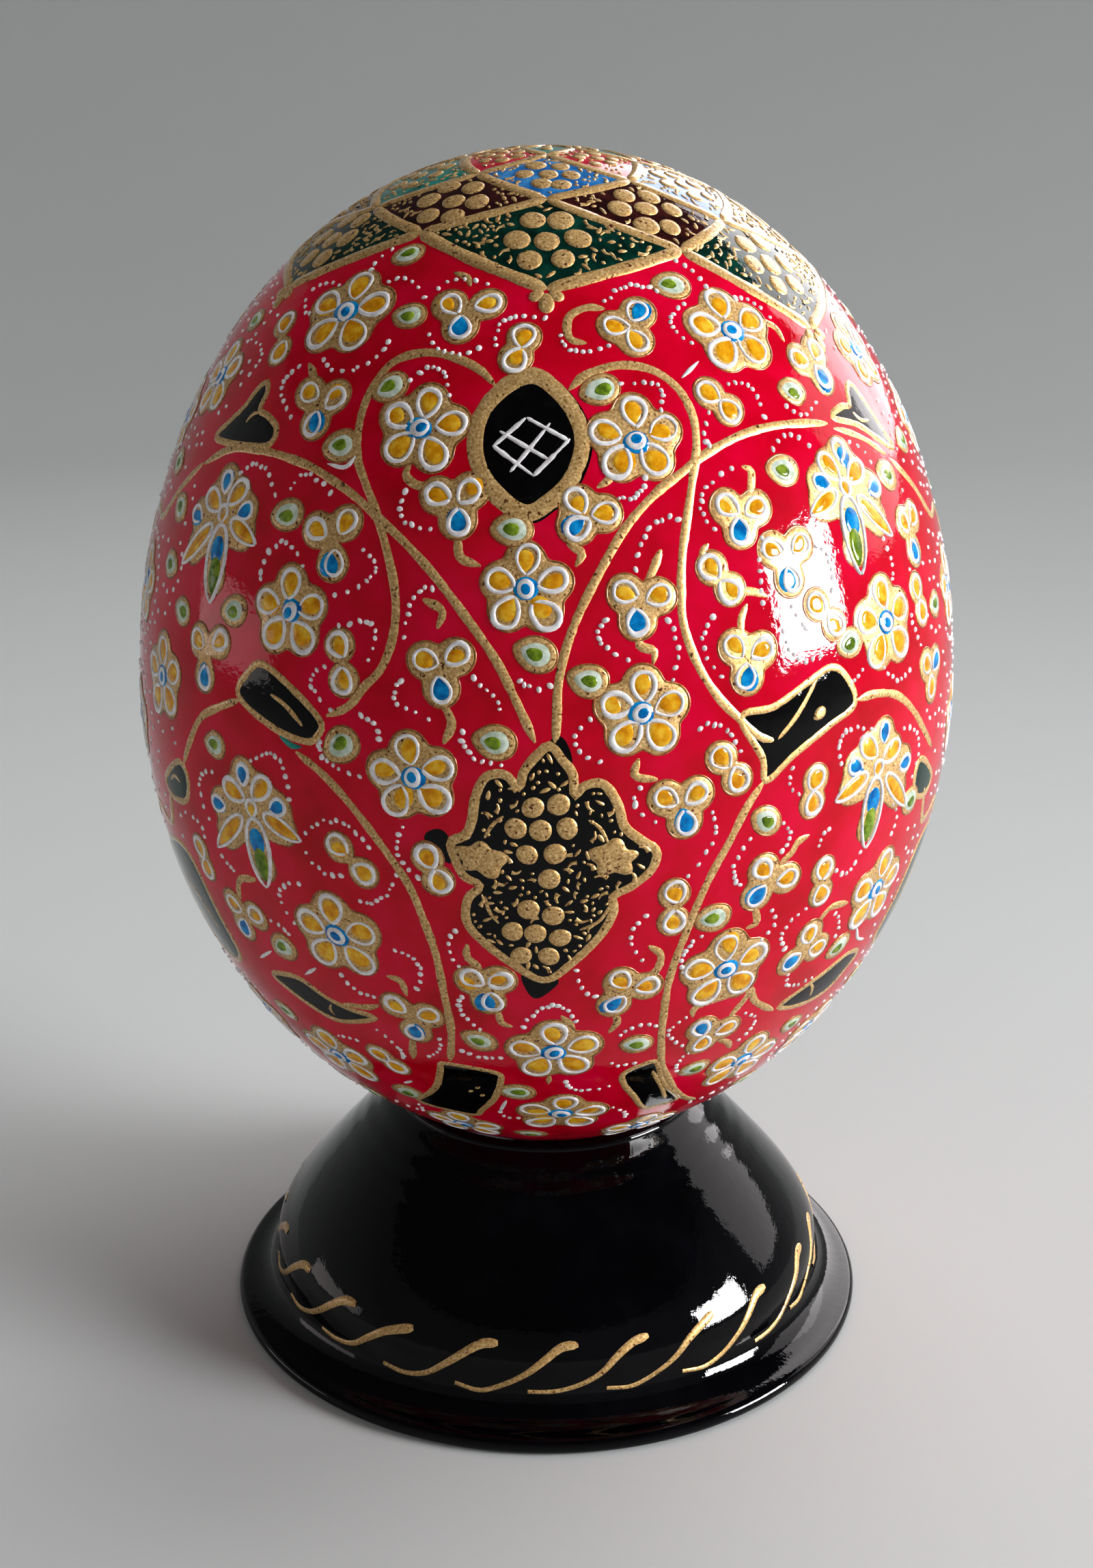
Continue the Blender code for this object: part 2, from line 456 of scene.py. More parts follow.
def make_materials():
    """Every finish of the object by name."""
    dark_pit = (84, 42, 24)
    return {
        "red": varnished("red_lacquer", [(180, 0, 22), (200, 0, 34), (214, 0, 50)], 5.0, 0.5,
                         relief=0.004),
        "gold": varnished("bronze_powder_gold", [(146, 106, 60), (180, 142, 88), (202, 164, 108),
                                                 (232, 202, 148)], 0.17, 0.45, metallic=0.3,
                          relief=0.003, pits=(dark_pit, 0.34, 0.05)),
        # dark bronze for the painted shade along the rims of the gold grounds
        "bronze": varnished("painted_edge_shade_bronze", [(104, 58, 30), (140, 90, 50), (176, 126, 80)], 0.3, 0.5,
                            metallic=0.2, relief=0.004),
        "ochre": varnished("ochre_paint", [(200, 120, 4), (228, 160, 22), (240, 196, 60)], 0.8, 0.45),
        "white": varnished("white_outline_paint", [(208, 202, 204), (232, 228, 230), (246, 244, 244)],
                           0.5, 0.45, relief=0.004),
        "blue": varnished("blue_paint", [(0, 78, 148), (0, 124, 194), (24, 160, 222)], 0.8, 0.4),
        "green": varnished("leaf_green_paint", [(60, 86, 14), (104, 132, 30), (146, 168, 54)], 0.7, 0.45),
        "pale_green": varnished("pale_green_paint", [(166, 184, 158), (200, 212, 196), (226, 232, 220)],
                                0.6, 0.45, relief=0.008),
        "black": varnished("black_paint", [(2, 2, 3), (4, 4, 5), (9, 8, 9)], 1.2, 0.4),
        "dark_green": varnished("dark_green_paint", [(0, 20, 16), (2, 38, 30), (8, 58, 46)], 1.5, 0.4),
        "maroon": varnished("maroon_paint", [(24, 4, 4), (42, 10, 10), (60, 20, 18)], 1.5, 0.4),
        "lattice_blue": varnished("lattice_blue_paint", [(16, 78, 146), (34, 108, 176), (68, 140, 200)],
                                  1.5, 0.4),
        "lattice_red": varnished("lattice_red_paint", [(164, 12, 34), (190, 24, 50), (212, 54, 76)],
                                 1.5, 0.4),
        "teal": varnished("teal_paint", [(12, 92, 84), (22, 124, 112), (50, 150, 136)], 1.5, 0.4),
        "stand": varnished("black_stand_lacquer", [(1, 1, 2), (2, 2, 4), (5, 5, 8)], 4.0, 0.35,
                           relief=0.003, peel=0.012, coat_roughness=0.025),
        "paper": varnished("brown_paper", [(112, 90, 62), (140, 116, 84), (166, 142, 108)], 0.6, 0.85,
                           relief=0.05, coat=0.0),
    }


# ======== painting ========
PETAL_AIMS = (90, 17, -50, -128, 164)


def clear_of_edge(outline, spots, margin):
    """Which spots lie inside a closed outline and further than margin from its edge."""
    a = outline[None]
    b = np.roll(outline, -1, axis=0)[None]
    p = spots[:, None]
    crosses = (a[..., 1] > p[..., 1]) != (b[..., 1] > p[..., 1])
    run = (b[..., 0] - a[..., 0]) * (p[..., 1] - a[..., 1]) / (b[..., 1] - a[..., 1] + 1e-12)
    inside = (crosses & (p[..., 0] < a[..., 0] + run)).sum(1) % 2 == 1
    edge = b - a
    share = ((p - a) * edge).sum(-1) / ((edge ** 2).sum(-1) + 1e-12)
    nearest = a + np.clip(share, 0, 1)[..., None] * edge
    return inside & (np.linalg.norm(p - nearest, axis=-1).min(1) > margin)


class Taken:
    """Record of the painted places on the egg, so that later marks find bare lacquer."""

    def __init__(self):
        self.spots = np.zeros((80000, 3))
        self.radii = np.zeros(80000)
        self.count = 0

    def add(self, spots, radius):
        end = self.count + len(spots)
        self.spots[self.count:end] = spots
        self.radii[self.count:end] = radius
        self.count = end

    def nearest(self, spot):
        """Distance from a spot to the edge of the nearest painted place."""
        away = np.linalg.norm(self.spots[:self.count] - spot, axis=1)
        return (away - self.radii[:self.count]).min()


class Painter:
    """Paints one panel of the egg.

    Places are (azimuth from the panel's middle, latitude) in degrees. A mirrored panel runs the
    other way, and drift bends the whole layout a little, as no two panels come out alike.
    """

    def __init__(self, paints, taken, middle=0.0, mirror=1, drift=0.0):
        self.paints = paints
        self.taken = taken
        self.middle = middle
        self.mirror = mirror
        self.drift = drift
        self.phase = rng.uniform(0, 6)

    # -- from panel places to the egg --
    def world(self, places):
        az, lat = np.asarray(places, float)[..., 0], np.asarray(places, float)[..., 1]
        bent_az = az + self.drift * np.sin(lat / 19 + self.phase)
        bent_lat = lat + 0.7 * self.drift * np.sin(az / 23 + 1.7 * self.phase)
        return self.middle + self.mirror * bent_az, bent_lat

    @staticmethod
    def around(place, outline):
        """Panel places of an outline given in mm round a place."""
        lat = place[1] + outline[:, 1] * degrees_per_mm(place[1])[1]
        return np.stack([place[0] + outline[:, 0] * degrees_per_mm(lat)[0], lat], axis=1)

    @staticmethod
    def offsets(middle, places):
        """Millimetres from a middle place to other places."""
        step = np.array(degrees_per_mm(middle[1]))
        return (np.asarray(places, float) - middle) / step

    # -- room left on the red --
    def take(self, places, radius):
        """Note that places are painted, each with a radius in mm round it."""
        az, lat = self.world(places)
        self.taken.add(egg_surface(np.atleast_1d(az), np.atleast_1d(lat))[0], radius * MM)

    def free(self, place, radius):
        """Whether a mark of this radius in mm would touch nothing painted so far."""
        return self.taken.nearest(egg_surface(*self.world(place))[0]) > radius * MM

    # -- single marks --
    def mark(self, colour, place, outline, height, shares=(1, 0.84, 0.5), lifts=(-0.5, 0.72, 0.96)):
        rings = [self.around(place, outline * share) for share in shares]
        az, lat = self.world(np.concatenate(rings + [[place]]))
        self.paints[colour].dome(az, lat, len(outline), height, lifts, self.mirror < 0)

    def sheet(self, colour, place, outline, height):
        """Wide flat mark with a rounded edge."""
        self.mark(colour, place, outline, height, (1, 0.95, 0.72, 0.4), (-0.6, 0.8, 1, 1))

    def stroke(self, colour, path, widths, height, closed=False):
        """Brush line straight along a dense path."""
        self.paints[colour].ribbon(np.stack(self.world(path), axis=1), widths, height, closed)

    def ground(self, place, outline):
        """Gold ground of a motif, with a thin dark bronze line along its edge: painted shade where the
        raised gold's rim turns from the light.
        """
        self.sheet("gold", place, outline, GOLD_LIFT)
        self.take(place, np.linalg.norm(outline, axis=1).mean() + 0.1)
        # painted shade: a thin dark bronze line round the rim of the gold ground
        path = self.around(place, outline)
        self.stroke("gold_edge_shade", path, 0.17 * wobble(len(path), 0.3)[:, 0], BEAD_LIFT, closed=True)

    def ring(self, colour, place, outline, width, height):
        """Brush line round an outline: it leaves the tip, goes round, and comes back thinner."""
        path = np.roll(self.around(place, outline), -(len(outline) // 2), axis=0)
        path = np.vstack([path, path[:1]])
        run = np.linspace(0, 1, len(path))
        press = np.interp(run, (0, 0.12, 0.5, 0.88, 1), (0.75, 1, 1.15, 0.9, 0.4))
        self.stroke(colour, path, width * press * wobble(len(path), 0.2)[:, 0], height)

    def line(self, colour, path, width, height, closed=False, step=0.35, ends=3, uneven=0.08):
        """Brush line along a soft curve through the places; width and step in mm."""
        soft = smooth(path, closed, step)
        if closed:
            widths = width * wobble(len(soft), 0.08)[:, 0] * rng.normal(1, 0.03, len(soft))
        else:
            widths = brush_widths(len(soft), width, ends, uneven)
        self.stroke(colour, soft, widths, height, closed)
        self.take(soft[::3], 0.5)

    def field(self, colour, path, lift=FIELD_LIFT, spacing=0.6):
        """Flat paint inside a closed outline."""
        edge = smooth(path, closed=True, step=0.3)
        middle = edge.mean(axis=0)
        flat = self.offsets(middle, edge)
        low, high = flat.min(axis=0), flat.max(axis=0)
        grid = np.stack(np.meshgrid(np.arange(low[0], high[0], spacing),
                                    np.arange(low[1], high[1], spacing)), axis=-1).reshape(-1, 2)
        grid = grid[clear_of_edge(flat, grid, 0.12)]
        spots = [Vector(p) for p in np.concatenate([flat, grid])]
        found, _, faces, *_ = delaunay_2d_cdt(spots, [], [list(range(len(flat)))], 1, 1e-6)
        found = np.array([tuple(p) for p in found])
        places = middle + found * degrees_per_mm(middle[1])
        self.take(places[::3], 0.6)
        az, lat = self.world(places)
        points, normals = self.paints[colour].surface(az, lat)
        height = np.where(np.arange(len(found)) < len(flat), 0.2 * lift, lift)
        self.paints[colour].add(points + normals * height[:, None], self.facing_out(found, faces))

    def facing_out(self, flat, faces):
        """Faces turned so that they look away from the egg."""
        turned = []
        for face in faces:
            a, b, c = flat[face[0]], flat[face[1]], flat[face[2]]
            area = (b[0] - a[0]) * (c[1] - a[1]) - (b[1] - a[1]) * (c[0] - a[0])
            turned.append(tuple(face) if area * self.mirror > 0 else tuple(face)[::-1])
        return turned

    def patch(self, colour, corners, steps=22):
        """Four-cornered field; corners run bottom, right, top, left."""
        bottom, right, top, left = np.array(corners, float)
        u, v = np.meshgrid(np.linspace(0, 1, steps + 1), np.linspace(0, 1, steps + 1))
        u, v = u[..., None], v[..., None]
        places = bottom * (1 - u) * (1 - v) + right * u * (1 - v) + top * u * v + left * (1 - u) * v
        az, lat = self.world(places)
        points, normals = self.paints[colour].surface(az, lat)
        rows, cols = np.meshgrid(np.arange(steps), np.arange(steps), indexing="ij")
        first = rows * (steps + 1) + cols
        quads = np.stack([first, first + 1, first + steps + 2, first + steps + 1], axis=-1)
        self.paints[colour].add(points + normals * FIELD_LIFT, quads.reshape(-1, 4).tolist())

    # -- motifs --
    def petal(self, place, aim, length, width, colour="ochre"):
        """Colour drop and its white outline, which never sits quite on it."""
        slip = rng.normal(0, 0.13, 2)
        full = 1.3 if colour == "blue" else 1.0
        long, wide = length * full * rng.uniform(0.98, 1.14), width * full * rng.uniform(1.0, 1.2)
        self.mark(colour, place, (drop(long, wide, aim) + slip) * wobble(16, 0.04), COLOUR_LIFT)
        outline = drop(length * 1.18, width * 1.18, aim + rng.normal(0, 7), 0.5, 22)
        outline = outline * wobble(22, 0.03) - slip * 0.6
        self.ring("white", place, outline, rng.uniform(0.24, 0.40), OUTLINE_LIFT)

    def flower(self, az, lat, size):
        """Five yellow petals round a blue, white and blue middle."""
        place = (az, lat)
        turn = rng.normal(0, 4)
        circles = []
        for aim in PETAL_AIMS:
            reach = 1.76 * size * rng.uniform(0.95, 1.06)
            a = math.radians(aim + turn)
            circles.append((reach * math.cos(a), reach * math.sin(a), 0.98 * size))
        self.ground(place, halo(circles, 0.36 * size, 56))
        for aim, (x, y, _) in zip(PETAL_AIMS, circles):
            grow = size * (1.12 if aim in (-50, -128) else 1.0)
            spot = self.around(place, np.array([[x, y]]))[0]
            self.petal(spot, aim + turn, 1.60 * grow, 1.26 * grow)
        slip = rng.normal(0, 0.12, 2)
        tilt = rng.uniform(0, 180)
        disc = blot(1.92, 1.7, 0, 0.0, 16, 0.05, size)
        self.mark("blue", place, disc + slip, DISC_LIFT)
        oval = blot(1.44, 1.26, tilt, 0.0, 20, 0.04, size)
        self.mark("white", place, oval + slip * 0.5, OVAL_LIFT, (1, 0.9, 0.6))
        self.mark("blue", place, blot(1.04, 0.86, tilt, 0.0, 12, 0.05, size), CORE_LIFT)

    def sprig(self, first, second, blue):
        """Two yellow petals and a blue one on a lobed gold ground."""
        places = [first, second, blue]
        middle = np.mean(places, axis=0)
        spots = self.offsets(middle, places)
        self.ground(middle, halo([(x, y, 0.78) for x, y in spots], 0.43, 44))
        for place, (x, y), colour in zip(places, spots, ("ochre", "ochre", "blue")):
            aim = math.degrees(math.atan2(y, x)) + rng.normal(0, 8)
            self.petal(place, aim, 1.36, 1.08, colour)

    def twin_bud(self, first, second):
        """Two yellow drops end to end, each ringed white."""
        places = [first, second]
        middle = np.mean(places, axis=0)
        spots = self.offsets(middle, places)
        self.ground(middle, halo([(x, y, 0.72) for x, y in spots], 0.38, 40))
        for place, (x, y) in zip(places, spots):
            self.petal(place, math.degrees(math.atan2(y, x)) + rng.normal(0, 10), 1.36, 1.16)

    def green_bud(self, az, lat, size):
        """Green oval in a pale ring on a gold ground."""
        place = (az, lat)
        aim = rng.uniform(-35, 35)
        spread = rng.uniform(0.84, 1.0)
        self.ground(place, drop(2.9, 2.3, aim, 0.25, 28) * size * spread * wobble(28, 0.03))
        self.mark("pale_green", place, blot(2.15, 1.65, aim, 0.35, 20, 0.04, size), LEAF_LIFT)
        slip = rng.normal(0, 0.1, 2)
        self.mark("green", place, blot(1.35, 1.0, aim, 0.5, 14, 0.05, size) + slip, BUD_LIFT)

    def great_flower(self, az, lat, lean):
        """Compound flower with a long hanging drop; lean 1 puts its lower leaf to the left."""
        def at(dx, dy):
            return (az + lean * dx, lat + dy)

        def aimed(angle):
            return angle if lean > 0 else 180 - angle

        middle = at(-0.4, -2.2)
        parts = [at(-1.1, 3.3), at(-3.1, 1.1), at(2, 2.1), at(-6, -0.7), at(4.5, 0.6),
                 at(5, -1.6), at(-5.6, -4), at(0.1, -4), at(0.5, -6.4)]
        circles = [(x, y, 0.75) for x, y in self.offsets(middle, parts)]
        self.ground(middle, halo(circles, 0.5, 84))
        for start, end in ((at(2.4, -0.6), at(7.6, -2.4)), (at(-2.4, -1.6), at(-8.4, -5.9))):
            x, y = self.offsets(start, end)
            length = float(np.hypot(x, y))
            aim = math.degrees(math.atan2(y, x)) + 180
            spot = np.mean([start, end], axis=0)
            self.mark("ochre", spot, drop(length, 1.0, aim, 0.35, 18), COLOUR_LIFT)
            self.ring("white", spot, drop(length * 1.1, 1.2, aim, 0.5, 26), 0.26, OUTLINE_LIFT)
        self.mark("blue", at(0.2, -3.8), drop(2.3, 1.7, 90, 0.1, 18), COLOUR_LIFT)
        self.mark("green", at(0.4, -6.3), drop(2.9, 1.4, 90, 0.4, 18), GRAPE_LIFT)
        self.ring("white", at(0.3, -5.1), drop(5.2, 2.1, 90, 0.4, 32), 0.3, HIGH_LIFT)
        for dx, dy, aim in ((-3.1, 1.1, 150), (2, 2.1, 50)):
            self.petal(at(dx, dy), aimed(aim), 1.9, 1.2)
        for dx, dy, aim in ((-1.1, 3.3, 95), (-6.7, -0.9, 170), (4.5, 0.6, 20)):
            self.petal(at(dx, dy), aimed(aim), 1.25, 0.95, "blue")
        self.petal(at(0, -0.3), 90, 1.0, 0.85)

    def dot(self, place, size=0.36):
        outline = drop(size * rng.uniform(0.9, 1.35), size * rng.uniform(0.8, 1.05),
                       rng.uniform(0, 360), 0.1, 9)
        self.take(place, 0.25)
        self.mark("dots", place, outline, DOT_LIFT * rng.uniform(0.8, 1.15), (1, 0.62), (-0.4, 0.8))

    def dots(self, start, over, end, count):
        """Dotted arc from start to end that passes over a middle place."""
        start, over, end = np.array(start), np.array(over), np.array(end)
        handle = 2 * over - (start + end) / 2
        first, last = rng.permutation([rng.uniform(0.30, 0.36), rng.uniform(0.40, 0.47)])
        for t in np.linspace(0, 1, count):
            place = start * (1 - t) ** 2 + handle * 2 * t * (1 - t) + end * t * t
            jitter = rng.normal(0, 0.09, 2)
            self.dot(place + jitter, first + (last - first) * t + 0.04 * rng.normal())

    def dots_about(self, az, lat, radius, first, last, count):
        """Dotted arc round a motif; radius in mm, first and last in degrees."""
        for a in np.radians(np.linspace(first, last, count)):
            place = self.around((az, lat), np.array([[radius * math.cos(a), radius * math.sin(a)]]))[0]
            if self.free(place, 0.22):
                self.dot(place)

    def bordered(self, colour, outline, middle_lines=()):
        """Field of paint with a gold border and gold veins."""
        self.field(colour, outline)
        self.line("gold_lines", outline, 0.55, GOLD_LIFT, closed=True)
        for path in middle_lines:
            self.line("gold_lines", path, 0.42, GOLD_LIFT)

    def grape(self, place, size):
        outline = drop(size, size * rng.uniform(0.88, 1.0), rng.uniform(0, 360), 0.06, 18)
        self.mark("gold_grapes", place, outline * wobble(18, 0.03), GRAPE_LIFT,
                  (1, 0.9, 0.6), (-0.3, 0.75, 0.97))

    def vine_leaf(self, place, turn):
        """Gold leaf with five blunt lobes."""
        a = np.linspace(0, 2 * np.pi, 40, endpoint=False)
        reach = 1.34 + 0.22 * np.cos(5 * a) + 0.16 * np.cos(a) + 0.12 * np.cos(2 * a + 1)
        aim = a + math.radians(turn)
        outline = np.stack([np.cos(aim) * 1.15, np.sin(aim) * 0.92], axis=1) * reach[:, None]
        self.mark("gold_grapes", place, outline * wobble(40, 0.07), LEAF_LIFT,
                  (1, 0.93, 0.6), (-0.3, 0.8, 1))

    def crumbs(self, outline, taken, margin, tries, size, spacing=0.5):
        """Gold flecks, leaves and commas between the grapes of a dark field.

        taken: (azimuth, latitude, radius in mm) of marks to stay clear of.
        """
        middle = np.mean(outline, axis=0)
        edge = self.offsets(middle, outline)
        blocked = [(*self.offsets(middle, [t[:2]])[0], t[2]) for t in taken]
        low, high = edge.min(axis=0), edge.max(axis=0)
        spots = rng.uniform(low, high, (tries, 2))
        spots = spots[clear_of_edge(edge, spots, margin)]
        for x, y in spots:
            if any(math.hypot(x - a, y - b) < r for a, b, r in blocked):
                continue
            place = self.around(middle, np.array([[x, y]]))[0]
            aim = rng.uniform(0, 360)
            kind = rng.uniform()
            if kind < 0.46:
                length, width = rng.uniform(0.34, 0.62) * size, rng.uniform(0.26, 0.44) * size
                self.fleck(place, blot(length, width, aim, 0.2, 9, 0.1))
                room = 0.75
            elif kind < 0.76:
                length, width = rng.uniform(0.8, 1.25) * size, rng.uniform(0.32, 0.5) * size
                self.fleck(place, drop(length, width, aim, 0.5, 11))
                room = 1.0
            else:
                self.comma(place, aim, rng.uniform(0.9, 1.5) * size)
                room = 1.15
            blocked.append((x, y, spacing * room))

    def fleck(self, place, outline):
        self.mark("gold_grapes", place, outline, FLECK_LIFT, (1, 0.6), (-0.3, 0.9))

    def comma(self, place, aim, length):
        """Short curved stroke, thick at one end."""
        a = np.radians(aim + np.array([0, 35, 80]))
        steps = np.stack([np.cos(a), np.sin(a)], axis=1) * length / 2.6
        path = self.around(place, np.cumsum(steps, axis=0) - steps.sum(axis=0) / 2)
        soft = smooth(path, step=0.16)
        widths = np.linspace(0.4, 0.14, len(soft)) * rng.uniform(0.8, 1.1)
        self.stroke("gold_grapes", soft, widths, FLECK_LIFT)


# ---- the front panel's layout: degrees from its middle, and latitude ----
FLOWERS = [
    (-37.2, 45.9, 1.15), (32, 43.7, 1.1), (-17.5, 33.1, 1), (12.2, 32, 1), (-2.5, 17.7, 0.95),
    (-33.3, 14, 1), (48.2, 11.4, 1.1), (11.2, 6, 1), (-15.8, -0.4, 1), (-60, 4, 1.05),
    (-28.5, -19.2, 1.15), (24.7, -23, 1.1), (52, -18.5, 1.1), (1.2, -33.5, 1.1), (3, -48, 1.1),
    (-40, -41, 1.1), (37, -41.3, 1.1), (-66, 36.5, 1), (65, 40, 1), (-20, -55, 1), (24, -57, 1),
]
# two yellow petals, blue petal
SPRIGS = [
    ((-17, 47.3), (-10.3, 47.5), (-14.3, 44.5)), ((11.3, 44.5), (14.3, 42.9), (15.7, 46.3)),
    ((-37.8, 36.2), (-32.8, 36), (-35, 33)), ((44.5, 39.8), (49.3, 40.6), (48, 37.4)),
    ((-14, 26.4), (-9.8, 27), (-11.2, 24)), ((4, 25.8), (7.2, 24.8), (3.7, 23.6)),
    ((23.7, 24.9), (28, 24.6), (25.2, 22.5)), ((-30.5, 22.3), (-26.4, 23.2), (-27.6, 19.2)),
    ((9.5, 17.2), (13.5, 16.9), (10.8, 14.5)), ((-14.3, 10.8), (-10.6, 11.3), (-12.3, 8.2)),
    ((23, 11.6), (26.5, 11), (24.4, 8.6)), ((-49.8, 9.4), (-45.2, 9.8), (-48, 6)),
    ((14, -2.4), (17.8, -2.2), (16.5, -4.9)), ((27.7, -11.3), (31.5, -12.8), (27.2, -14.1)),
    ((-48, -19.3), (-43.3, -19.8), (-47.3, -22.2)), ((-10, -22.8), (-6.3, -22.5), (-7.8, -25.6)),
    ((9.8, -22.9), (13.3, -23.8), (9.2, -26)), ((38.3, -21), (40.9, -23.3), (36.2, -24.2)),
    ((-21.7, -27.8), (-17, -28.6), (-19.7, -31.5)), ((28.2, -32.5), (24.8, -34.5), (23.8, -31.7)),
    ((57.5, 20.7), (61, 21), (59, 17.5)), ((58.8, 5.5), (60.5, 2.9), (62.3, 5.3)),
    ((29.6, 20.4), (33.8, 20.6), (31.6, 17.4)),
]
TWIN_BUDS = [
    ((-3.6, 43.3), (-4.7, 40.9)), ((-52, 44), (-49, 40.6)), ((24.4, 36.6), (27, 34.7)),
    ((20.6, 19.2), (22.9, 17)), ((-25.5, 11.5), (-24.7, 8.3)), ((20.9, 1.1), (23, -1.2)),
    ((57.5, 13.8), (58.5, 11.2)), ((34.5, -2.6), (34.2, -5)), ((-26, -8.6), (-22.8, -11)),
    ((-14.3, -8.5), (-13.1, -11)), ((15.8, -12.6), (15.9, -15.8)), ((37.8, -13), (38.2, -15.8)),
    ((-53.5, -13.8), (-53, -16)), ((-28.5, -37.5), (-26.3, -39.5)), ((35.4, 14.6), (38, 12.4)),
]
GREEN_BUDS = [
    (-30, 54.3), (-24, 45.8), (23.5, 49.8), (-23.7, 37.3), (7.7, 37.3), (39.7, 36.3), (-29.5, 30.8),
    (33.5, 28.1), (56, 26), (-36, 23.4), (-62, 21.9), (-4.3, 23.3), (-43, 13.2), (-55, 11.7),
    (-1.3, 11.7), (40.5, 10.3), (4.8, 9.2), (-6, 3.4), (-25, 1.9), (-46, -0.8), (27.3, -5.9),
    (56, -8.8), (21.3, -16), (-39.3, -23), (46.5, -24.7), (-10, -31.9), (13.5, -32.8), (-48, -35),
    (45, -36.5), (25.8, -39.7), (-5.3, -42), (-28, -46.2), (-44, -52), (48, -50), (-4, -57),
]
# azimuth, latitude, lean
GREAT_FLOWERS = [(-48.5, 22.5, 1), (44.5, 25.8, -1), (-39.5, -6.3, 1), (46, -3, -1)]
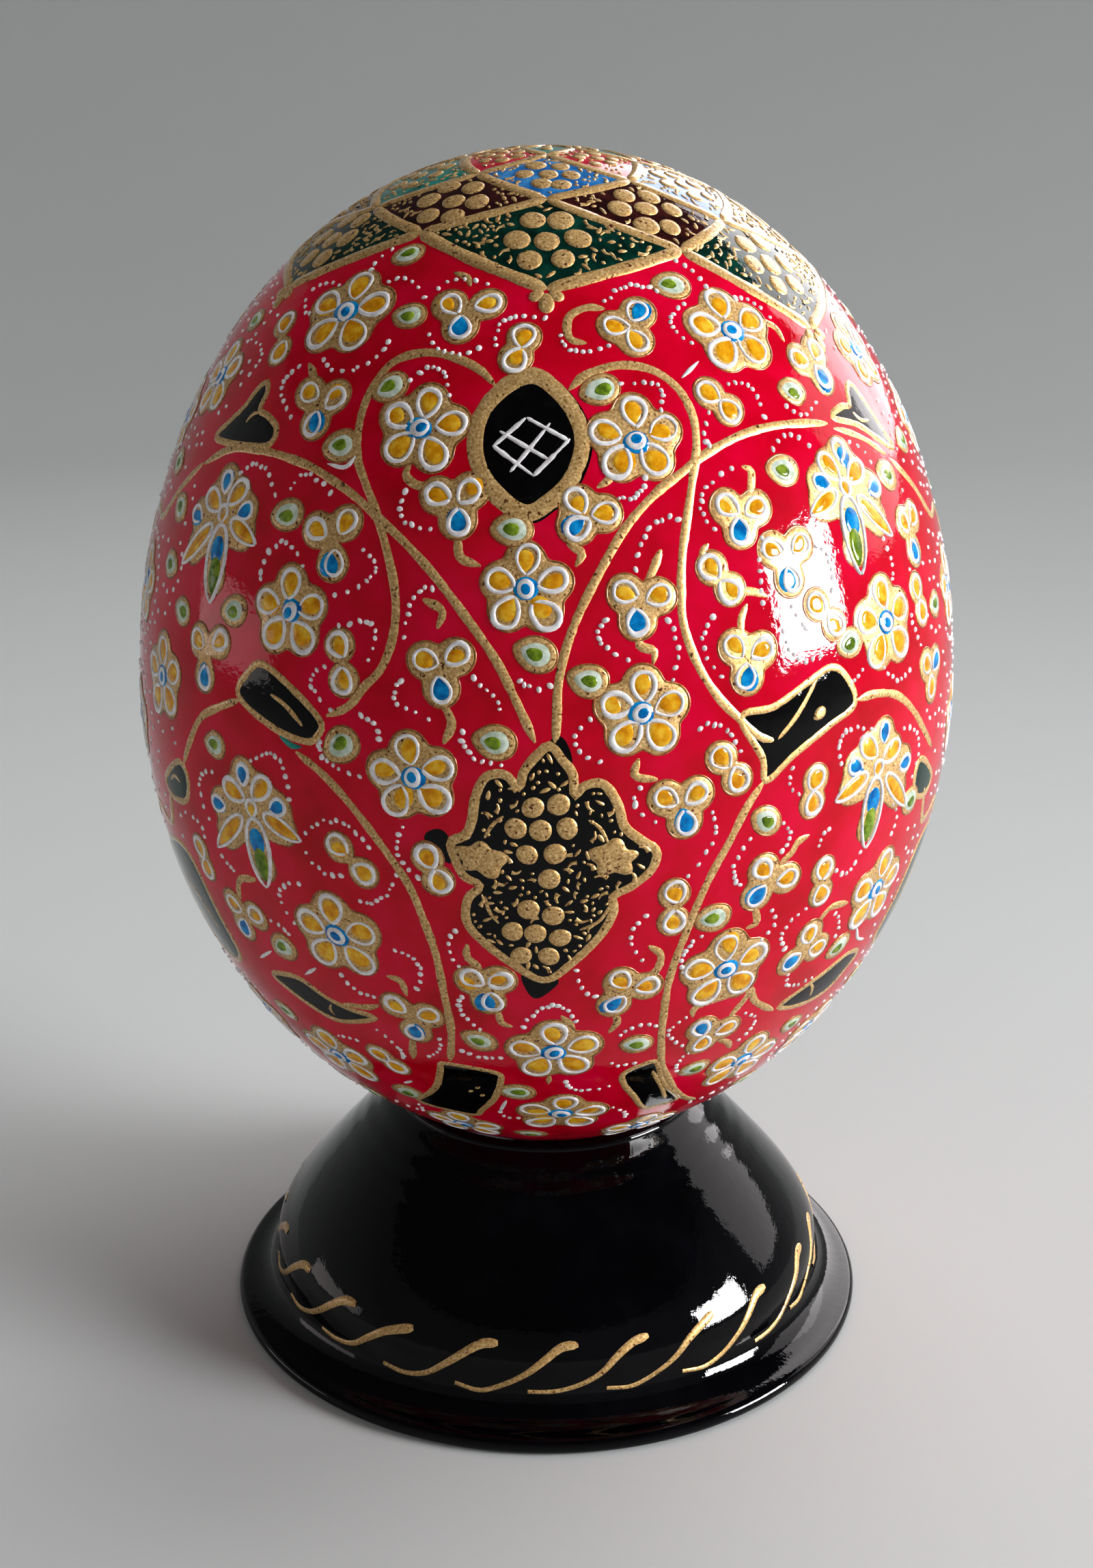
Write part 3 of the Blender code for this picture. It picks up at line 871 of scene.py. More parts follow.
# start, middle, end, number of dots
DOTTED_ARCS = [
    ((-31, 50.2), (-27, 50.7), (-22.3, 48.2), 6), ((-20, 49.5), (-16.2, 50.8), (-10.8, 50), 6),
    ((-19.3, 43.5), (-15.5, 41.3), (-10.7, 42), 8), ((-26.3, 42.5), (-28, 40.3), (-33, 38.8), 6),
    ((-20.7, 38.3), (-16.5, 39.6), (-14.2, 36.7), 9), ((-8, 42.3), (-6.7, 45.5), (-0.3, 45.6), 10),
    ((10.3, 47.7), (15, 49.8), (20.3, 49), 10), ((25.3, 53.7), (29, 52.2), (30.8, 49.5), 6),
    ((2.2, 43.5), (4.5, 41.7), (9.8, 42.4), 9), ((24.8, 47.2), (20.9, 44.9), (23.8, 42.4), 9),
    ((11, 37.8), (16.5, 37.6), (16.2, 35), 9), ((28, 37.5), (31.8, 37), (32.7, 33.8), 8),
    ((23.6, 34.5), (22.2, 32.5), (22.8, 31), 5), ((-37.5, 40), (-35, 39), (-31, 39), 5),
    ((-42.3, 39), (-44.3, 36.5), (-39.8, 33.5), 9), ((-50, 48.8), (-47, 49.7), (-43, 49.6), 5),
    ((-50, 47.3), (-48.5, 46), (-46.5, 45.4), 4), ((-61, 41.5), (-54, 40), (-56, 36.3), 9),
    ((-35, 55.2), (-36.8, 53.5), (-37, 52), 4), ((36.2, 47.7), (39.5, 47.4), (42, 45.3), 6),
    ((37.5, 34.6), (40.5, 33.6), (44, 34.8), 6), ((32.7, 30.3), (36, 31.6), (39.5, 30.3), 6),
    ((46, 30.3), (50.5, 29.6), (52.5, 27.5), 5), ((-36.2, 26), (-33.8, 27.6), (-29.5, 26), 8),
    ((-47, 27), (-43, 28), (-39, 25.2), 9), ((-37, 20.2), (-34.8, 20.6), (-32, 18.7), 6),
    ((-38, 19.6), (-38.8, 18), (-38.6, 16.8), 4), ((-23.3, 20.8), (-21.6, 18.5), (-26.7, 16.2), 10),
    ((-18.6, 26.7), (-18.5, 24), (-14.5, 23.1), 8), ((13, 28.2), (11.6, 26.4), (9.2, 26.3), 8),
    ((16.9, 24), (13, 23.3), (10.8, 19.3), 9), ((25.3, 28.6), (20.3, 26), (21.7, 22.9), 10),
    ((7, 14.7), (6.2, 13), (9.5, 11), 8), ((14.5, 14.4), (15.7, 12), (14.9, 8.9), 7),
    ((20.4, 14.6), (18.7, 12), (21, 9), 8), ((-13.8, 17.8), (-16.3, 16.3), (-17, 13), 8),
    ((-25.7, 13.2), (-21.3, 13.8), (-21.5, 10.4), 9), ((-27.4, 9.3), (-29.3, 7.6), (-26.5, 5.3), 8),
    ((-22.3, 5.1), (-20.7, 4.4), (-20, 3), 5), ((-17.1, 8.7), (-17.8, 6.8), (-13.8, 5.3), 8),
    ((-8.5, 9.3), (-6.5, 8), (-5.4, 6.5), 6), ((-9.7, 4.1), (-8.7, 2), (-5.2, 1.2), 8),
    ((-3.2, 9.3), (-2, 8.7), (0.5, 8.7), 5), ((5, 5.6), (3.3, 3.2), (6.2, 1.5), 7),
    ((18, 4.3), (21.2, 4), (23.4, 1.5), 8), ((-27.9, 2.1), (-27, 0.2), (-22.6, -0.9), 9),
    ((40.5, 6.5), (41.5, 6.7), (42.5, 7.3), 4), ((47, 7), (50, 5.3), (53.5, 5.8), 7),
    ((55, 11.3), (55.7, 9.6), (57, 8), 5), ((50.7, 19.7), (51.6, 17.2), (51, 15.4), 6),
    ((38.7, -1.7), (39, 1.4), (44.3, 1.2), 10), ((52, -0.1), (56.5, -2), (55.5, -6), 9),
    ((11, -1.2), (10.4, -3), (12.8, -4.6), 5), ((19.8, -4.4), (20.3, -7), (17.4, -10.8), 8),
    ((30, -6.6), (31.1, -8), (30.2, -9.7), 6), ((25.3, -7.7), (23.4, -10.5), (24.5, -12.5), 8),
    ((30.8, -0.9), (30.5, -2.5), (32, -3.7), 5), ((37.7, -8.3), (36.6, -9), (36.2, -9.9), 4),
    ((51, -8.2), (52.5, -10), (52, -11.8), 5), ((40.5, -13.8), (43, -14.2), (44.8, -12.5), 6),
    ((36, -17.1), (33, -19.4), (34, -22), 8), ((42.5, -19.3), (44.3, -20.8), (44.5, -22.7), 5),
    ((36.7, -26.2), (38.5, -28.3), (43, -28.2), 8), ((20, -18.2), (18, -20), (18.3, -22.5), 8),
    ((30.2, -16.5), (30.9, -18.3), (29.3, -20), 5), ((12.4, -14.8), (10.6, -17.3), (12.5, -20.2), 7),
    ((3.8, -21.3), (4.5, -23.5), (6.5, -24.7), 5), ((-17.2, -5.7), (-18.1, -8.2), (-15.7, -10.8), 8),
    ((-30.8, -7.8), (-26, -5.8), (-21.8, -8.2), 11), ((-31, -10), (-29, -11.6), (-26.2, -11.7), 6),
    ((-23.8, -14.4), (-20.7, -13.7), (-18.4, -10.8), 9),
    ((-38.9, -1.4), (-34.7, -0.3), (-32.7, -4.4), 11),
    ((-47, -3.7), (-50.3, -5.5), (-49.4, -9.6), 8), ((-56, -10.2), (-52.5, -10.5), (-51.5, -12), 5),
    ((-47.7, -13.5), (-46.5, -14.3), (-45.5, -14.7), 4),
    ((-32.9, -13.8), (-36.8, -15.5), (-35.5, -19.1), 8),
    ((-40, -19.8), (-38.2, -20), (-37.2, -20.8), 4), ((-20, -19.8), (-17, -21.2), (-17.7, -24.8), 9),
    ((-29.5, -24.7), (-27.5, -26.7), (-24.9, -27), 6), ((-11.4, -16.5), (-12.5, -18.7), (-11.5, -21), 6),
    ((-11.5, -25.2), (-11.9, -27.5), (-9.6, -30), 8), ((-3.3, -29.3), (0.5, -26), (4.3, -28.4), 12),
    ((-13, -34.1), (-10, -35), (-7.1, -34.7), 6), ((10.7, -31), (13, -29.7), (16, -30), 6),
    ((10.2, -36.1), (12, -36.6), (14, -36.2), 4), ((3.2, -39.5), (5.5, -41.5), (10.8, -40.9), 8),
    ((-9.3, -48), (-8.3, -49.6), (-5.9, -49.7), 4), ((-16, -32.5), (-16.8, -34.5), (-18.9, -35.9), 6),
    ((-26.5, -32.6), (-23.8, -35.3), (-24, -37), 8), ((-36, -36), (-34, -35.7), (-32, -35.7), 4),
    ((20.4, -29.3), (18.4, -31.5), (21.3, -34.4), 8), ((31, -30.7), (34, -33), (32.3, -35.7), 8),
    ((23, -36), (21.8, -37.8), (22.5, -39.4), 6), ((13, -47), (16, -49), (17, -51), 5),
    ((-36, -52), (-30, -52.5), (-28, -50), 6), ((33, -51), (39, -49.5), (42, -47), 6),
    ((27.2, 15.4), (27.3, 18.5), (28.3, 21.5), 7), ((30, 12.5), (31.5, 9.8), (35.5, 9.8), 8),
    ((36.5, 20.3), (38.6, 18.6), (38.2, 15.8), 7), ((31.5, 14.8), (32.5, 13.4), (33.5, 12.6), 4),
]
WHITE_DASHES = [
    ((24, 40.2), (20.5, 38.4)), ((-31, 28.9), (-28, 28.7), (-26.5, 30)),
    ((50, -23), (52, -25), (55, -26)), ((-33.8, -24.6), (-36.7, -26.2)),
    ((-42.5, -24.3), (-46.5, -26.3)), ((-7.3, -44.3), (-9.3, -48)), ((-24.7, -42.5), (-27, -43.5)),
]
TENDRILS = [
    ((-7.5, 37.8), (-10, 39.5), (-14, 40.8), (-19, 41.4), (-24, 40.3), (-26.5, 37.5), (-27.3, 34),
     (-26.5, 30), (-24.5, 27.3), (-22.5, 24.8), (-20.5, 21.5), (-18.9, 18), (-18.3, 15), (-18.7, 12),
     (-20, 9.5), (-22, 7.8), (-24, 5.8), (-27, 4.6)),
    ((-58, 27), (-52, 29), (-46, 29.5), (-40, 29.3), (-34, 28.5), (-30, 27.4), (-26, 26), (-22, 24),
     (-18, 21.8), (-14, 19), (-10, 15.4), (-6, 11.2), (-3.5, 7.3), (-1.3, 3.4)),
    ((3.2, 37.3), (6, 39), (11, 40), (16, 39.4), (19.5, 37.3), (21, 34.3), (20.7, 31), (19.5, 28),
     (18, 24), (16.9, 20.5), (16.4, 17), (16.5, 14), (18, 10.3), (20.5, 7), (23.5, 4.5), (26, 2.7),
     (28.5, 2)),
    ((1, 3), (1.2, 6), (1.3, 8.5), (2.2, 12), (4, 15.7), (7, 20), (10, 23.5), (14, 26.5), (18, 28.5),
     (22, 30.3), (28, 32), (34, 32.7), (40, 32.7), (45, 32.4)),
    ((-31.5, 0.6), (-28, -1), (-25, -3), (-22, -5.7), (-19, -9), (-16.8, -12), (-15.3, -16),
     (-14.3, -20), (-14, -25), (-13.9, -30), (-14.7, -34), (-15.5, -36.3)),
    ((26.8, -1.7), (24.5, -4.2), (22.5, -7.5), (20.5, -10.7), (19, -14), (18, -17), (17, -20.5),
     (16.5, -24), (16.8, -29), (17.5, -33), (19, -37.5), (21.5, -41), (25, -45), (29, -48), (34, -50.5)),
    ((-40.8, 4.6), (-45, 3.2), (-49, 1.5), (-52, -1.5), (-54.5, -4.5)),
    ((41.5, 4.5), (45, 4.6), (49, 4), (52, 2.8), (55, 1), (58, -1.2), (62, -4)),
    ((30.3, -26.5), (31.5, -28.7), (34, -30.3), (37, -31.8)),
    ((-24.5, -28.2), (-27, -29), (-31, -29.3)),
]
# short gold stems and curls of the small motifs
CURLS = [
    ((38, 45), (42, 44), (42.7, 42)), ((-18.3, 29.5), (-18.8, 28.3), (-17, 27.3), (-14.5, 27.5)),
    ((9.5, 29.3), (8, 28), (6.5, 27.3)), ((10.7, 1.7), (10.3, 0), (13, -0.5)),
    ((-22, -23.5), (-20, -24), (-19.6, -26)), ((2, -27.5), (4, -29.5)), ((-1, -28.5), (0.5, -30)),
    ((0.5, -38), (0.3, -40)), ((-14, 49.8), (-15, 51), (-18, 51.8)),
    ((10, 46.8), (7, 47), (4, 46), (3.3, 44.3), (4, 43), (6.3, 42.6)),
    ((-37, 37), (-39, 38.6), (-40.5, 39.5)),
    ((-11.2, 23), (-11, 22), (-10.5, 20.5), (-8, 19.8)), ((3.6, 23), (3, 22), (4.3, 21), (3.5, 19.8)),
    ((27, 25), (27.8, 26.5), (28.3, 28.3), (27, 28.8)), ((11.8, 18), (12.8, 19), (14.2, 21.2)),
    ((10.9, 13.5), (11, 12.3), (12.7, 11.7), (12.5, 10.5)),
    ((-12.3, 7.6), (-12, 6.8), (-11, 5), (-12, 3)),
    ((-15, 16.5), (-12.5, 15.5), (-13, 13.8)), ((24, 12), (24, 14), (25, 15.5)),
    ((30, -11), (31.8, -10), (32.5, -9), (34.3, -8.5)),
    ((27.4, -15), (27.5, -16), (28, -17.5), (26.5, -18)),
    ((-46, -18.5), (-45.8, -17.2), (-44.5, -15.5), (-41, -14.8)),
    ((-8.7, -22), (-9, -20.8), (-10.2, -19.7), (-10, -18)),
    ((-7.2, -26.5), (-6.7, -27.3), (-6.3, -28.8), (-4.8, -29.4)),
    ((12.5, -23), (14.5, -21.8), (14.8, -19.8), (13, -18.5)),
    ((9.4, -27), (9.8, -28), (10, -29), (9, -30.5)),
    ((39.5, -20), (40, -19), (41.5, -18.2), (45, -18.5)), ((-20.5, -32.5), (-21, -34), (-22, -37)),
    ((28, -31), (30, -27), (25, -27.3), (21.5, -28), (21.5, -29.5)),
    ((27.5, -34.5), (30, -35.5), (31.5, -37)),
    ((23.5, 16.8), (26, 16.6), (28, 16)), ((20.8, 18), (19.6, 20.5), (20.5, 21.5)),
]


def medallion(painter):
    """Black pointed oval in a wide gold ring, with a white net painted on it."""
    def grown(path, grow):
        return [(-2.4 + (x + 2.4) * grow, 32 + (y - 32) * grow) for x, y in path]

    lens = [(-2, 38), (1.2, 36.4), (3.3, 34), (3.8, 31.4), (2.2, 28.4), (-0.3, 26.6), (-2.5, 25.7),
            (-5, 26.8), (-7.6, 29), (-8.7, 31.8), (-8, 34.6), (-5.4, 36.9)]
    painter.field("black", [(x + 0.7, y - 0.1) for x, y in grown(lens, 1.27)])
    painter.field("black", grown(lens, 1.06), lift=FIELD_LIFT * 1.2)
    painter.line("gold_lines", grown(lens, 1.16), 1.15, GOLD_LIFT, closed=True)
    painter.line("gold_lines", grown(lens, 1.05), 0.5, GOLD_LIFT * 0.9, closed=True)
    net = [((-6.5, 33), (0.5, 30)), ((-7.3, 31.5), (-1.7, 28.5)), ((-2.8, 34.4), (3, 32)),
           ((-2.8, 34.4), (-7.3, 31.3)), ((0.5, 33.8), (-4.8, 28.8)), ((3.2, 32.2), (-1.8, 28.4))]
    for path in net:
        painter.line("white", path, 0.30, FLECK_LIFT, step=0.25, ends=1.2, uneven=0.2)


def cartouche(painter):
    """Lobed black shield with gold grapes, leaves and flecks."""
    right = [(0.4, 3.1), (1.8, 1.8), (3.0, 0.3), (3.2, -1.8), (4.4, -0.8), (6.6, -0.7), (8.3, -2.8),
             (9.1, -5), (11.4, -6.7), (13.1, -7.8), (12.6, -9.7), (10.2, -11.4), (8, -12.4),
             (8.2, -14), (6.8, -16.7), (3.2, -20.2), (-0.3, -22.4)]
    left = [(-4.2, -20.4), (-8, -17.6), (-9.8, -15.4), (-9.5, -12.7), (-7.9, -11.2), (-9.9, -10.2),
            (-10.9, -8.3), (-11.3, -6.7), (-9.5, -5.9), (-8.7, -4.4), (-8.2, -2), (-7, 0),
            (-4.8, 0.3), (-3.2, -1), (-2.6, 0.6), (-1.3, 2)]
    outline = right + left
    painter.field("black", outline, spacing=0.5)
    # black that ran past the border
    painter.field("black", [(-3, -21.5), (1.5, -22.3), (0.4, -24), (-1.5, -25), (-2.8, -23.6)])
    painter.field("black", [(0.2, 2), (1.8, 1), (3, 1.5), (2.2, 3.6), (0.8, 4.1)])
    painter.field("black", [(-11.5, -9), (-11.4, -6.5), (-12.6, -5.4), (-14.4, -6), (-14.2, -7.2)])
    painter.line("gold_lines", outline, 0.72, GOLD_LIFT, closed=True)
    grapes = [(1.4, -2.6), (-1.6, -2.9), (2.4, -5), (-3.6, -5), (-0.7, -5.2), (1, -7.6), (-2.3, -7.7),
              (0.3, -10.3), (-2.2, -13.7), (0.8, -14.4), (-4.2, -16.3), (-1.4, -16.5), (1.7, -17),
              (-3.2, -19.2), (0.3, -19.3)]
    for place in grapes:
        painter.grape(place, 1.55)
    veins = [((-4.5, -3.5), (-6.2, -4.6), (-7.5, -6.4)), ((4.5, -4), (6.2, -5), (7.5, -7)),
             ((-7.5, -12), (-7, -14), (-5.5, -15.8)), ((8, -13), (6.4, -15.2), (3.5, -16.3))]
    for path in veins:
        painter.line("gold_lines", path, 0.34, GOLD_LIFT)
    vine_leaves = [(-8, -8.3), (8.2, -8.3)]
    for place, turn in zip(vine_leaves, (10, 160)):
        painter.vine_leaf(place, turn)
    taken = [(*place, 1.0) for place in grapes]
    taken += [(*place, 0.45) for path in veins for place in path]
    taken += [(*place, 1.7) for place in vine_leaves]
    painter.crumbs(outline, taken, margin=0.46, tries=2600, size=0.8)


def leaves(painter):
    """Black and dark green leaves, hearts and calyxes with gold borders, and a short teal stroke of
    painted reflection along one black leaf's lower edge.
    """
    b = painter.bordered
    b("black", [(-41, 5), (-39.5, 7.4), (-37, 8.6), (-32, 6.7), (-27.8, 4), (-28.4, 2.4), (-30, 1.8),
                (-35, 2.6)], middle_lines=[((-36, 6), (-33, 5), (-30, 3))])
    # painted reflection: a short teal stroke along the lower edge of the black leaf, standing for a
    # bluish highlight
    painter.line("teal", [(-34, 1.9), (-32, 1.1), (-30.6, 1.2)], 0.5, FIELD_LIFT * 2)
    b("black", [(23.5, 4.8), (28, 5.4), (33, 7.2), (37, 8.3), (39.6, 7), (41, 4.2), (36.5, 2.6),
                (31, 0.4), (27, -1.8), (26.4, 0.6)], middle_lines=[((28, 1.8), (31.5, 4.4), (35, 8))])
    painter.mark("gold_grapes", (34.8, 4), drop(1.3, 0.9, 30), BUD_LIFT)
    b("black", [(-57, 30), (-54.6, 32), (-52, 33.8), (-50.3, 36), (-48.6, 36.9), (-47.4, 35.7),
                (-47.6, 33.8), (-45, 33.2), (-42.2, 32), (-42.8, 30.2), (-48, 29.8)],
      middle_lines=[((-47, 33.5), (-48.8, 33.2), (-50, 32))])
    b("black", [(46.6, 33), (50, 34), (52.3, 34), (53.6, 35.8), (55.6, 36.4), (57.2, 34.6), (59.5, 31.4),
                (61.5, 28.5), (57, 30), (52.5, 31.8)], middle_lines=[((52, 33.5), (54, 32.2), (57, 32))])
    painter.line("gold_lines", [(46, 31.8), (50, 31), (54, 29.8), (58, 28)], 0.5, GOLD_LIFT)
    b("black", [(-45, -28.5), (-41.5, -27.4), (-38, -27.3), (-34, -29.1), (-30, -30), (-26, -30.5),
                (-31, -32.2), (-35, -32.6), (-40, -31)],
      middle_lines=[((-33.5, -29.8), (-34.4, -31), (-33.8, -32))])
    b("black", [(38, -31.5), (42, -29.6), (46, -28.4), (51, -27), (55, -28), (53, -30.6), (50, -32.5),
                (44, -32.8)], middle_lines=[((43, -29), (44.6, -30.2), (45.5, -32))])
    b("black", [(-17, -37), (-12.5, -37.2), (-8, -38), (-7.6, -39.4), (-9.5, -44), (-13, -48),
                (-15, -50), (-21, -49.6), (-27, -48.5), (-22.5, -45), (-19.5, -42), (-17.5, -38)])
    for place in ((-12, -41.5), (-13.5, -42.6), (-11.6, -43.4)):
        painter.mark("gold_grapes", place, drop(0.5, 0.3, 40), LEAF_LIFT)
    b("black", [(12.7, -38.5), (16, -36.8), (18, -37), (21, -42), (27, -47.5), (23.5, -48.6), (20, -48.5),
                (16, -44), (13.5, -41)], middle_lines=[((17.2, -38), (20, -41.6), (24, -47))])
    b("dark_green", [(-62, -7.8), (-59.5, -6), (-57.5, -5), (-55.6, -4.4), (-53.9, -5.2), (-53.8, -7),
                     (-55.5, -8.8), (-60, -9.2)], middle_lines=[((-60, -7.4), (-57.8, -6.4), (-56, -7))])
    b("dark_green", [(64, -7.8), (61.5, -6), (59.5, -5), (57.6, -4.6), (56.6, -6), (57.5, -8.4),
                     (62, -9.4)])
    heart = [(72, -18), (66, -15.6), (60, -15.4), (57, -17.5), (55, -22), (53.5, -27.5), (58, -29.8),
             (65, -28.4), (71, -24)]
    vein = [(57, -26), (61, -22), (67, -20)]
    for side, outward in ((-1, 0), (1, 8)):
        outline, middle_line = [[(side * (x + outward), y) for x, y in path] for path in (heart, vein)]
        b("dark_green", outline, middle_lines=[middle_line])


def front_panel(painter):
    """Everything of one large panel below the lattice."""
    for path in TENDRILS:
        painter.line("gold_lines", path, 0.62, GOLD_LIFT)
    for path in CURLS:
        painter.line("gold_lines", path, 0.6, GOLD_LIFT * 0.9, step=0.25)
    leaves(painter)
    medallion(painter)
    cartouche(painter)
    for az, lat, size in FLOWERS:
        painter.flower(az, lat, size)
    for petals in SPRIGS:
        painter.sprig(*petals)
    for petals in TWIN_BUDS:
        painter.twin_bud(*petals)
    for az, lat in GREEN_BUDS:
        painter.green_bud(az, lat, rng.uniform(0.9, 1.05))
    for az, lat, lean in GREAT_FLOWERS:
        painter.great_flower(az, lat, lean)
    for start, over, end, count in DOTTED_ARCS:
        painter.dots(start, over, end, count)
    for path in WHITE_DASHES:
        painter.line("white", path, 0.3, DOT_LIFT, step=0.25)


# ---- the narrow side panels, out of the picture's reach ----
SIDE_FLOWERS = [(0, 45, 1.1), (-11, 31, 1), (12, 27, 1.05), (0, 12, 1.15), (-14, -3, 1), (14, -5, 1),
                (0, -20, 1.1), (-12, -37, 1.1), (12, -38, 1.1), (0, -52, 1.1)]
# right halves; the left ones are their mirror images
SIDE_TENDRILS = [
    [(31, 27.5), (25, 24), (19, 20), (13.5, 20.4), (8, 18), (6.5, 12), (8, 6), (4.5, 0), (0, -3)],
    [(29, -8), (26, -13), (19, -12), (16, -14.5), (8, -17), (8, -24), (5, -28), (0, -29)],
]


def dotted_company(painter, az, lat, radius):
    """Two dotted arcs round a motif, wherever the red is bare."""
    for first in rng.uniform(0, 120, 2) + (0, 180):
        last = first + rng.uniform(90, 140)
        painter.dots_about(az, lat, radius, first, last, int((last - first) * radius / 42))


def fill_gaps(painter, reach, lats):
    """Flowers, sprigs, buds and dots wherever the red still shows bare."""
    def flower(az, lat):
        painter.flower(az, lat, rng.uniform(0.95, 1.1))

    def sprig(az, lat):
        a = np.radians(rng.uniform(0, 360) + np.array([125, 0, -120]))
        spots = painter.around((az, lat), np.stack([np.cos(a), np.sin(a)], axis=1) * 1.25)
        painter.sprig(*[tuple(spot) for spot in spots])

    def bud(az, lat):
        painter.green_bud(az, lat, rng.uniform(0.85, 1.0))

    for motif, radius, tries in ((flower, 3.5, 500), (sprig, 2.7, 700), (bud, 1.55, 900)):
        for az, lat in zip(rng.uniform(-reach, reach, tries), rng.uniform(*lats, tries)):
            if painter.free((az, lat), radius):
                motif(az, lat)
                dotted_company(painter, az, lat, radius + 0.35)
    for az, lat in zip(rng.uniform(-reach, reach, 2500), rng.uniform(*lats, 2500)):
        if painter.free((az, lat), 0.62):
            painter.dot((az, lat))


def side_panel(painter):
    """Flowers, sprigs and meeting tendrils between the large panels."""
    for side in (-1, 1):
        for path in SIDE_TENDRILS:
            painter.line("gold_lines", [(side * x, y) for x, y in path], 0.62, GOLD_LIFT)
    for az, lat, size in SIDE_FLOWERS:
        if painter.free((az, lat), 2.4 * size):
            painter.flower(az, lat, size)
            dotted_company(painter, az, lat, 3.9 * size)
    fill_gaps(painter, 34, (-60, 50))


# ---- lattice cap: junctions from its lower points up to the pole, 6 to a turn ----
TIPS = [(0, 49.5), (52, 43.5), (113, 45), (178, 49), (238, 50), (300, 49)]
VALLEYS = [(29.5, 55), (82, 52), (146, 55), (208, 57), (269, 57), (330, 58)]
SECOND = [(0, 64.5), (50, 60), (112, 61), (178, 64), (238, 65), (305, 62.7)]
THIRD = [(30, 69), (82, 67.5), (146, 69), (208, 71), (269, 71.5), (333, 71)]
FOURTH = [(0, 78.5), (54, 76), (114, 76.5), (178, 78), (238, 79), (300, 78.5)]
FIFTH = [(30, 83.5), (84, 83), (146, 83.5), (208, 84), (269, 84), (330, 84)]


def junction(row, k):
    """Junction k of a lattice row, going round more than once where needed."""
    turns, place = divmod(k, 6)
    az, lat = row[place]
    return (az + 360 * turns, lat)


def diamond(painter, colour, corners, spacing, size, crumb_tries):
    """One lattice field: paint, a 2-3-2 bunch of grapes, and flecks."""
    painter.patch(colour, corners)
    middle = np.mean(corners, axis=0)
    taken = []
    for row, count in ((1, 2), (0, 3), (-1, 2)):
        for i in range(count):
            offset = np.array([[(i - (count - 1) / 2) * spacing, row * spacing * 0.92]])
            place = painter.around(middle, offset + rng.normal(0, 0.1, (1, 2)))[0]
            painter.grape(place, size * rng.uniform(0.92, 1.08))
            taken.append((*place, size * 0.72))
    painter.crumbs(corners, taken, margin=0.62, tries=crumb_tries, size=0.88)


def lattice(painter):
    """Cap of gold-bordered diamonds that darken from the pole outwards."""
    rows = [
        ("dark_green", TIPS, VALLEYS, SECOND, 0, 2.05, 1.9, 2600),
        ("maroon", VALLEYS, SECOND, THIRD, 1, 1.95, 1.8, 2000),
        ("lattice_blue", SECOND, THIRD, FOURTH, 0, 1.65, 1.5, 1600),
        ("lattice_red", THIRD, FOURTH, FIFTH, 1, 1.3, 1.1, 900),
    ]
    for colour, low, side, high, shift, spacing, size, tries in rows:
        for k in range(6):
            left, right = junction(side, k - 1 + shift), junction(side, k + shift)
            corners = [junction(low, k), right, junction(high, k), left]
            paint = "teal" if colour == "lattice_blue" and k % 3 == 2 else colour
            diamond(painter, paint, corners, spacing, size, tries)
            border = 1.05 if low is TIPS else 0.95
            for end in (left, right):
                for path, width in (([corners[0], end], border), ([end, corners[2]], 0.95)):
                    painter.line("gold_lines", path, width, GRAPE_LIFT, ends=2, uneven=0.06)
    for k in range(6):
        left, right = junction(FIFTH, k - 1), junction(FIFTH, k)
        low = junction(FOURTH, k)
        painter.patch("teal", [low, right, (low[0], 89.8), left])
        painter.line("gold_lines", [left, (low[0] - 15, 89.6)], 0.8, GRAPE_LIFT)
        painter.grape((low[0], 82.6), 1.0)
        painter.grape((low[0], 85.2), 0.8)
        tip = junction(TIPS, k)
        painter.mark("gold_grapes", (tip[0], tip[1] - 1.9), drop(1.7, 1.1, -90, 0.3), GRAPE_LIFT)
        for side in (-1, 1):
            lobe = (tip[0] + side * 1.7, tip[1] - 0.9)
            painter.mark("gold_grapes", lobe, drop(1.2, 0.9, -90 + side * 50, 0.3), DISC_LIFT)
    painter.grape((0, 89.7), 1.6)


# ======== pieces ========
# kind of paint: name of its piece, finish
PAINT_PIECES = {
    "gold": ("gold_flower_grounds", "gold"),
    # painted shade along the rims of the gold grounds
    "gold_edge_shade": ("painted_shade_along_gold_edges", "bronze"),
    "gold_lines": ("gold_tendrils_and_borders", "gold"),
    "gold_grapes": ("gold_grapes_and_flecks", "gold"),
    "dots": ("white_dots", "white"),
    "white": ("white_outlines", "white"),
    "ochre": ("ochre_petals", "ochre"),
    "blue": ("blue_petals", "blue"),
    "green": ("green_bud_centres", "green"),
    "pale_green": ("pale_bud_rings", "pale_green"),
    "black": ("black_fields", "black"),
    "dark_green": ("dark_green_fields", "dark_green"),
    "maroon": ("maroon_lattice_fields", "maroon"),
    "lattice_blue": ("blue_lattice_fields", "lattice_blue"),
    "lattice_red": ("red_lattice_fields", "lattice_red"),
    # teal also carries the painted reflection along one black leaf's lower edge
    "teal": ("teal_lattice_fields_and_leaf_reflection", "teal"),
}


def paint_egg(finishes):
    """All raised paint of the egg, one piece for each colour or kind of mark."""
    paints = {kind: Paint(name) for kind, (name, _) in PAINT_PIECES.items()}
    taken = Taken()
    lattice(Painter(paints, taken))
    front_panel(Painter(paints, taken))
    front_panel(Painter(paints, taken, middle=180, mirror=-1, drift=1.5))
    side_panel(Painter(paints, taken, middle=90))
    side_panel(Painter(paints, taken, middle=-90, mirror=-1, drift=1.0))
    for kind, (_, finish) in PAINT_PIECES.items():
        paints[kind].piece(finishes[finish], "egg", "red_lacquer")


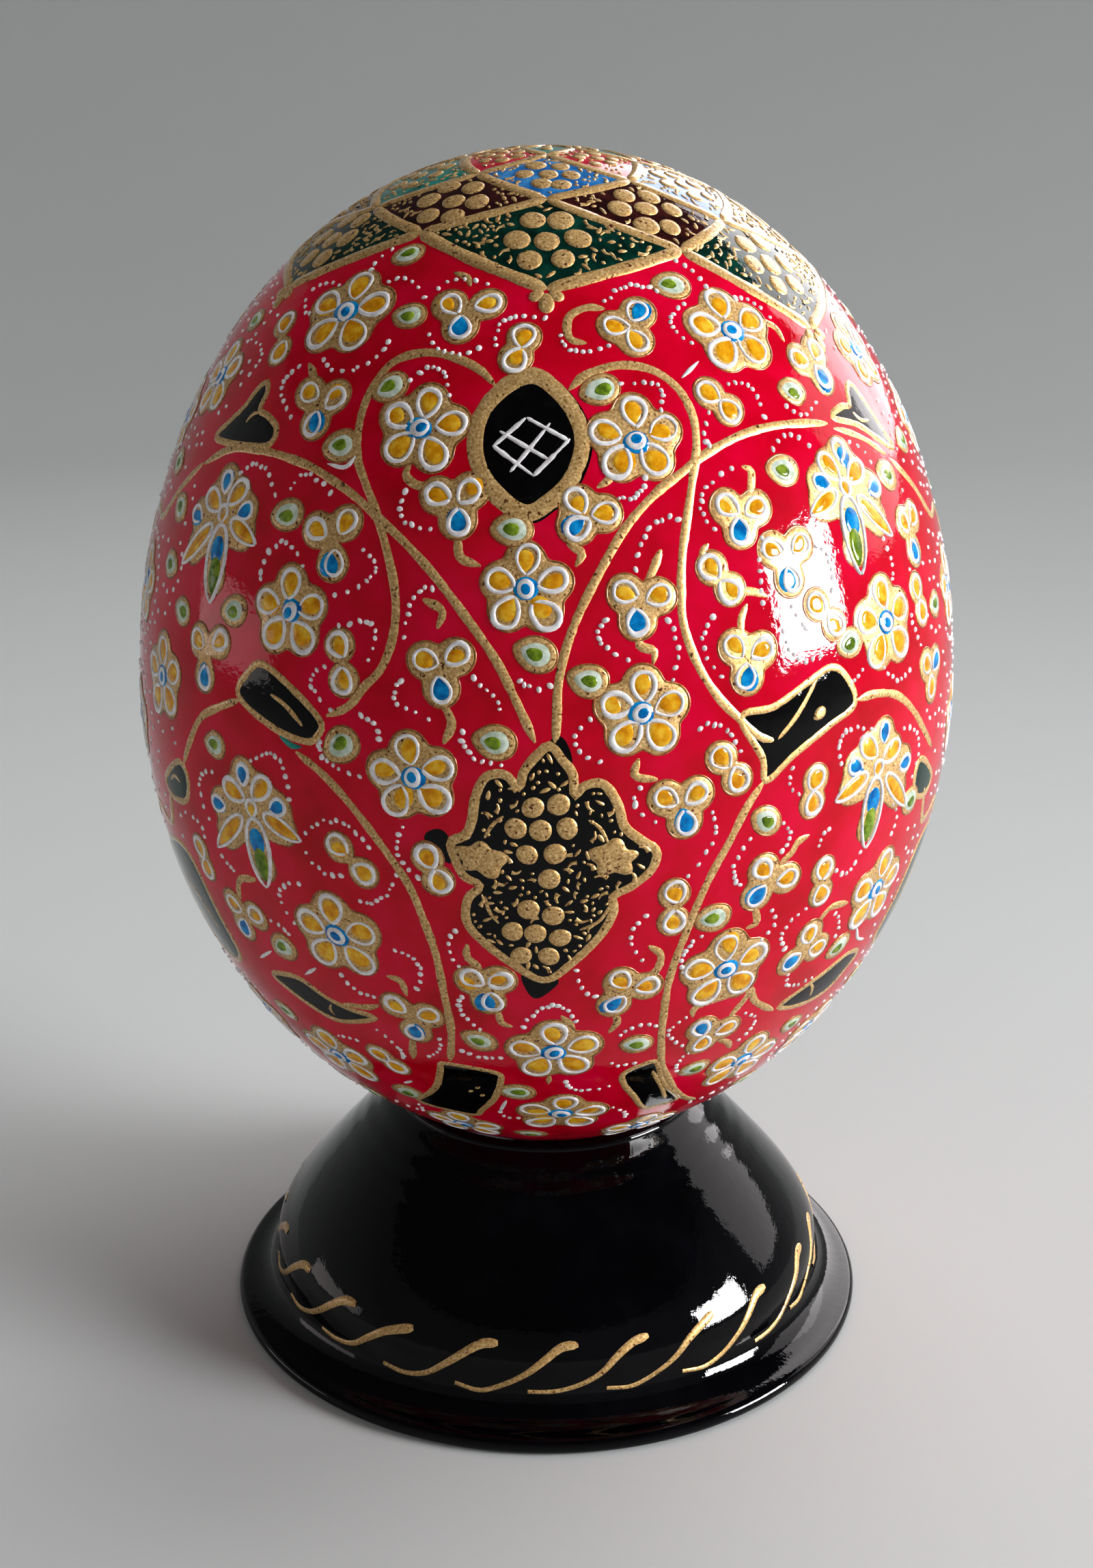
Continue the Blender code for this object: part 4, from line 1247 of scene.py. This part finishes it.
def stand_strokes(finishes, strokes=23):
    """Running gold brush strokes round the bell of the stand: thin tail, blunt head."""
    gold = Paint("stand_gold_strokes", bell_surface)
    shape = [(0, 3.2), (5, 3.1), (9.5, 3.6), (13.5, 4.6), (17, 5.7), (20.3, 6.5), (23.6, 6.7)]
    for k in range(strokes):
        start = 360 * k / strokes - 3 + rng.normal(0, 0.8)
        path = [(start + az, height + rng.normal(0, 0.08)) for az, height in shape]
        soft = smooth(path, step=0.3, surface=bell_surface)
        run = np.linspace(0, 1, len(soft))
        widths = 0.34 + 0.46 * run ** 1.3
        widths[-2:] *= (0.85, 0.5)
        gold.ribbon(soft, widths, STROKE_LIFT)
    gold.piece(finishes["gold"], "stand", "black_lacquer")


def build_object(finishes):
    upper = half_skin("lacquered_upper_shell", 89.9, 0.0)
    lower = half_skin("lacquered_lower_shell", -89.9, 0.0)
    for skin, node in ((upper, "egg_upper_shell"), (lower, "egg_lower_shell")):
        skin.data.materials.append(finishes["red"])
        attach(skin, "egg")
        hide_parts(node)
    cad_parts["seam_strip"].data.materials.clear()
    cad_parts["seam_strip"].data.materials.append(finishes["paper"])

    stand = stand_piece()
    stand.data.materials.append(finishes["stand"])
    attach(stand, "stand")
    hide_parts("stand_body")
    stand_strokes(finishes)
    paint_egg(finishes)


# ======== studio ========
def studio_floor():
    """Pale floor that sweeps up into a low round wall."""
    flat, bend, wall = 0.55, 0.35, 0.60
    profile = [(0.0005, 0.0), (0.08, 0.0), (0.2, 0.0), (0.35, 0.0)]
    profile += [(flat + bend * math.sin(a), bend * (1 - math.cos(a)))
                for a in np.linspace(0, math.pi / 2, 24)]
    profile += [(flat + bend, wall)]
    sides = 96
    turn = np.radians(np.linspace(0, 360, sides, endpoint=False))
    points = [(r * math.cos(a), r * math.sin(a), z) for r, z in profile for a in turn]
    floor = mesh_object("studio_floor", points, turned_faces(len(profile), sides)[:, ::-1].tolist())
    mat = bpy.data.materials.new("pale_floor")
    mat.use_nodes = True
    shader = mat.node_tree.nodes["Principled BSDF"]
    set_inputs(shader, {"Base Color": (0.62, 0.63, 0.63, 1), "Roughness": 0.9,
                        "Specular IOR Level": 0.0})
    floor.data.materials.append(mat)


def softbox(name, place, target, width, height, power, colour=(1, 1, 1), gloss=True, diffuse=True,
            spread=180):
    """Rectangular studio light that looks at a target, with its rays kept within spread degrees."""
    light = bpy.data.lights.new(name, "AREA")
    light.shape = "RECTANGLE"
    light.size = width
    light.size_y = height
    light.energy = power
    light.color = colour
    light.spread = math.radians(spread)
    obj = bpy.data.objects.new(name, light)
    obj.location = place
    obj.visible_camera = False
    obj.visible_glossy = gloss
    obj.visible_diffuse = diffuse
    obj.rotation_euler = (Vector(target) - Vector(place)).to_track_quat("-Z", "Y").to_euler()
    bpy.context.scene.collection.objects.link(obj)


def lights():
    middle = (0, 0, EGG_MIDDLE)
    # window low on the right: one light for the colours, one for the gloss
    softbox("key_window", (0.60, -0.17, 0.235), middle, 0.26, 0.21, 0.63, (0.97, 0.985, 1.0), gloss=False,
            spread=60)
    softbox("window_gloss", (0.56, -0.16, 0.155), middle, 0.24, 0.19, 15.0, diffuse=False)
    softbox("left_gloss", (-0.62, 0.02, 0.06), middle, 0.34, 0.12, 0.28, (1.0, 0.88, 0.88), diffuse=False)
    # bright wall behind the right shoulder, seen in the gloss along the egg's right edge
    pink = (1.0, 0.95, 0.97)
    softbox("right_gloss", (0.44, 0.66, 0.32), middle, 0.7, 0.75, 9.0, pink, diffuse=False)
    softbox("right_gloss_faint", (0.72, 0.36, 0.26), middle, 0.5, 0.6, 2.6, pink, diffuse=False)
    # broad soft light from behind the right shoulder, and a weak one in front
    softbox("top_soft", (0.28, 0.26, 0.70), middle, 0.7, 0.7, 3.7, gloss=False)
    softbox("front_soft", (-0.10, -0.80, 0.50), middle, 0.7, 0.6, 1.0, (1.0, 0.97, 0.93), gloss=False)
    world = bpy.data.worlds.new("studio")
    world.use_nodes = True
    set_inputs(world.node_tree.nodes["Background"], {"Color": (0.84, 0.85, 0.86, 1), "Strength": 0.08})
    bpy.context.scene.world = world


def camera():
    """Camera in front of the egg, looking 17 degrees down."""
    data = bpy.data.cameras.new("camera")
    data.sensor_width = 36
    data.lens = 42.77
    data.clip_start = 0.01
    data.clip_end = 10
    obj = bpy.data.objects.new("camera", data)
    obj.location = (0, -0.14186, 0.08743)
    obj.rotation_euler = (math.radians(90 - 17.216), 0, 0)
    bpy.context.scene.collection.objects.link(obj)
    bpy.context.scene.camera = obj


camera()
lights()
studio_floor()
build_object(make_materials())
bpy.context.scene.view_settings.view_transform = "Standard"
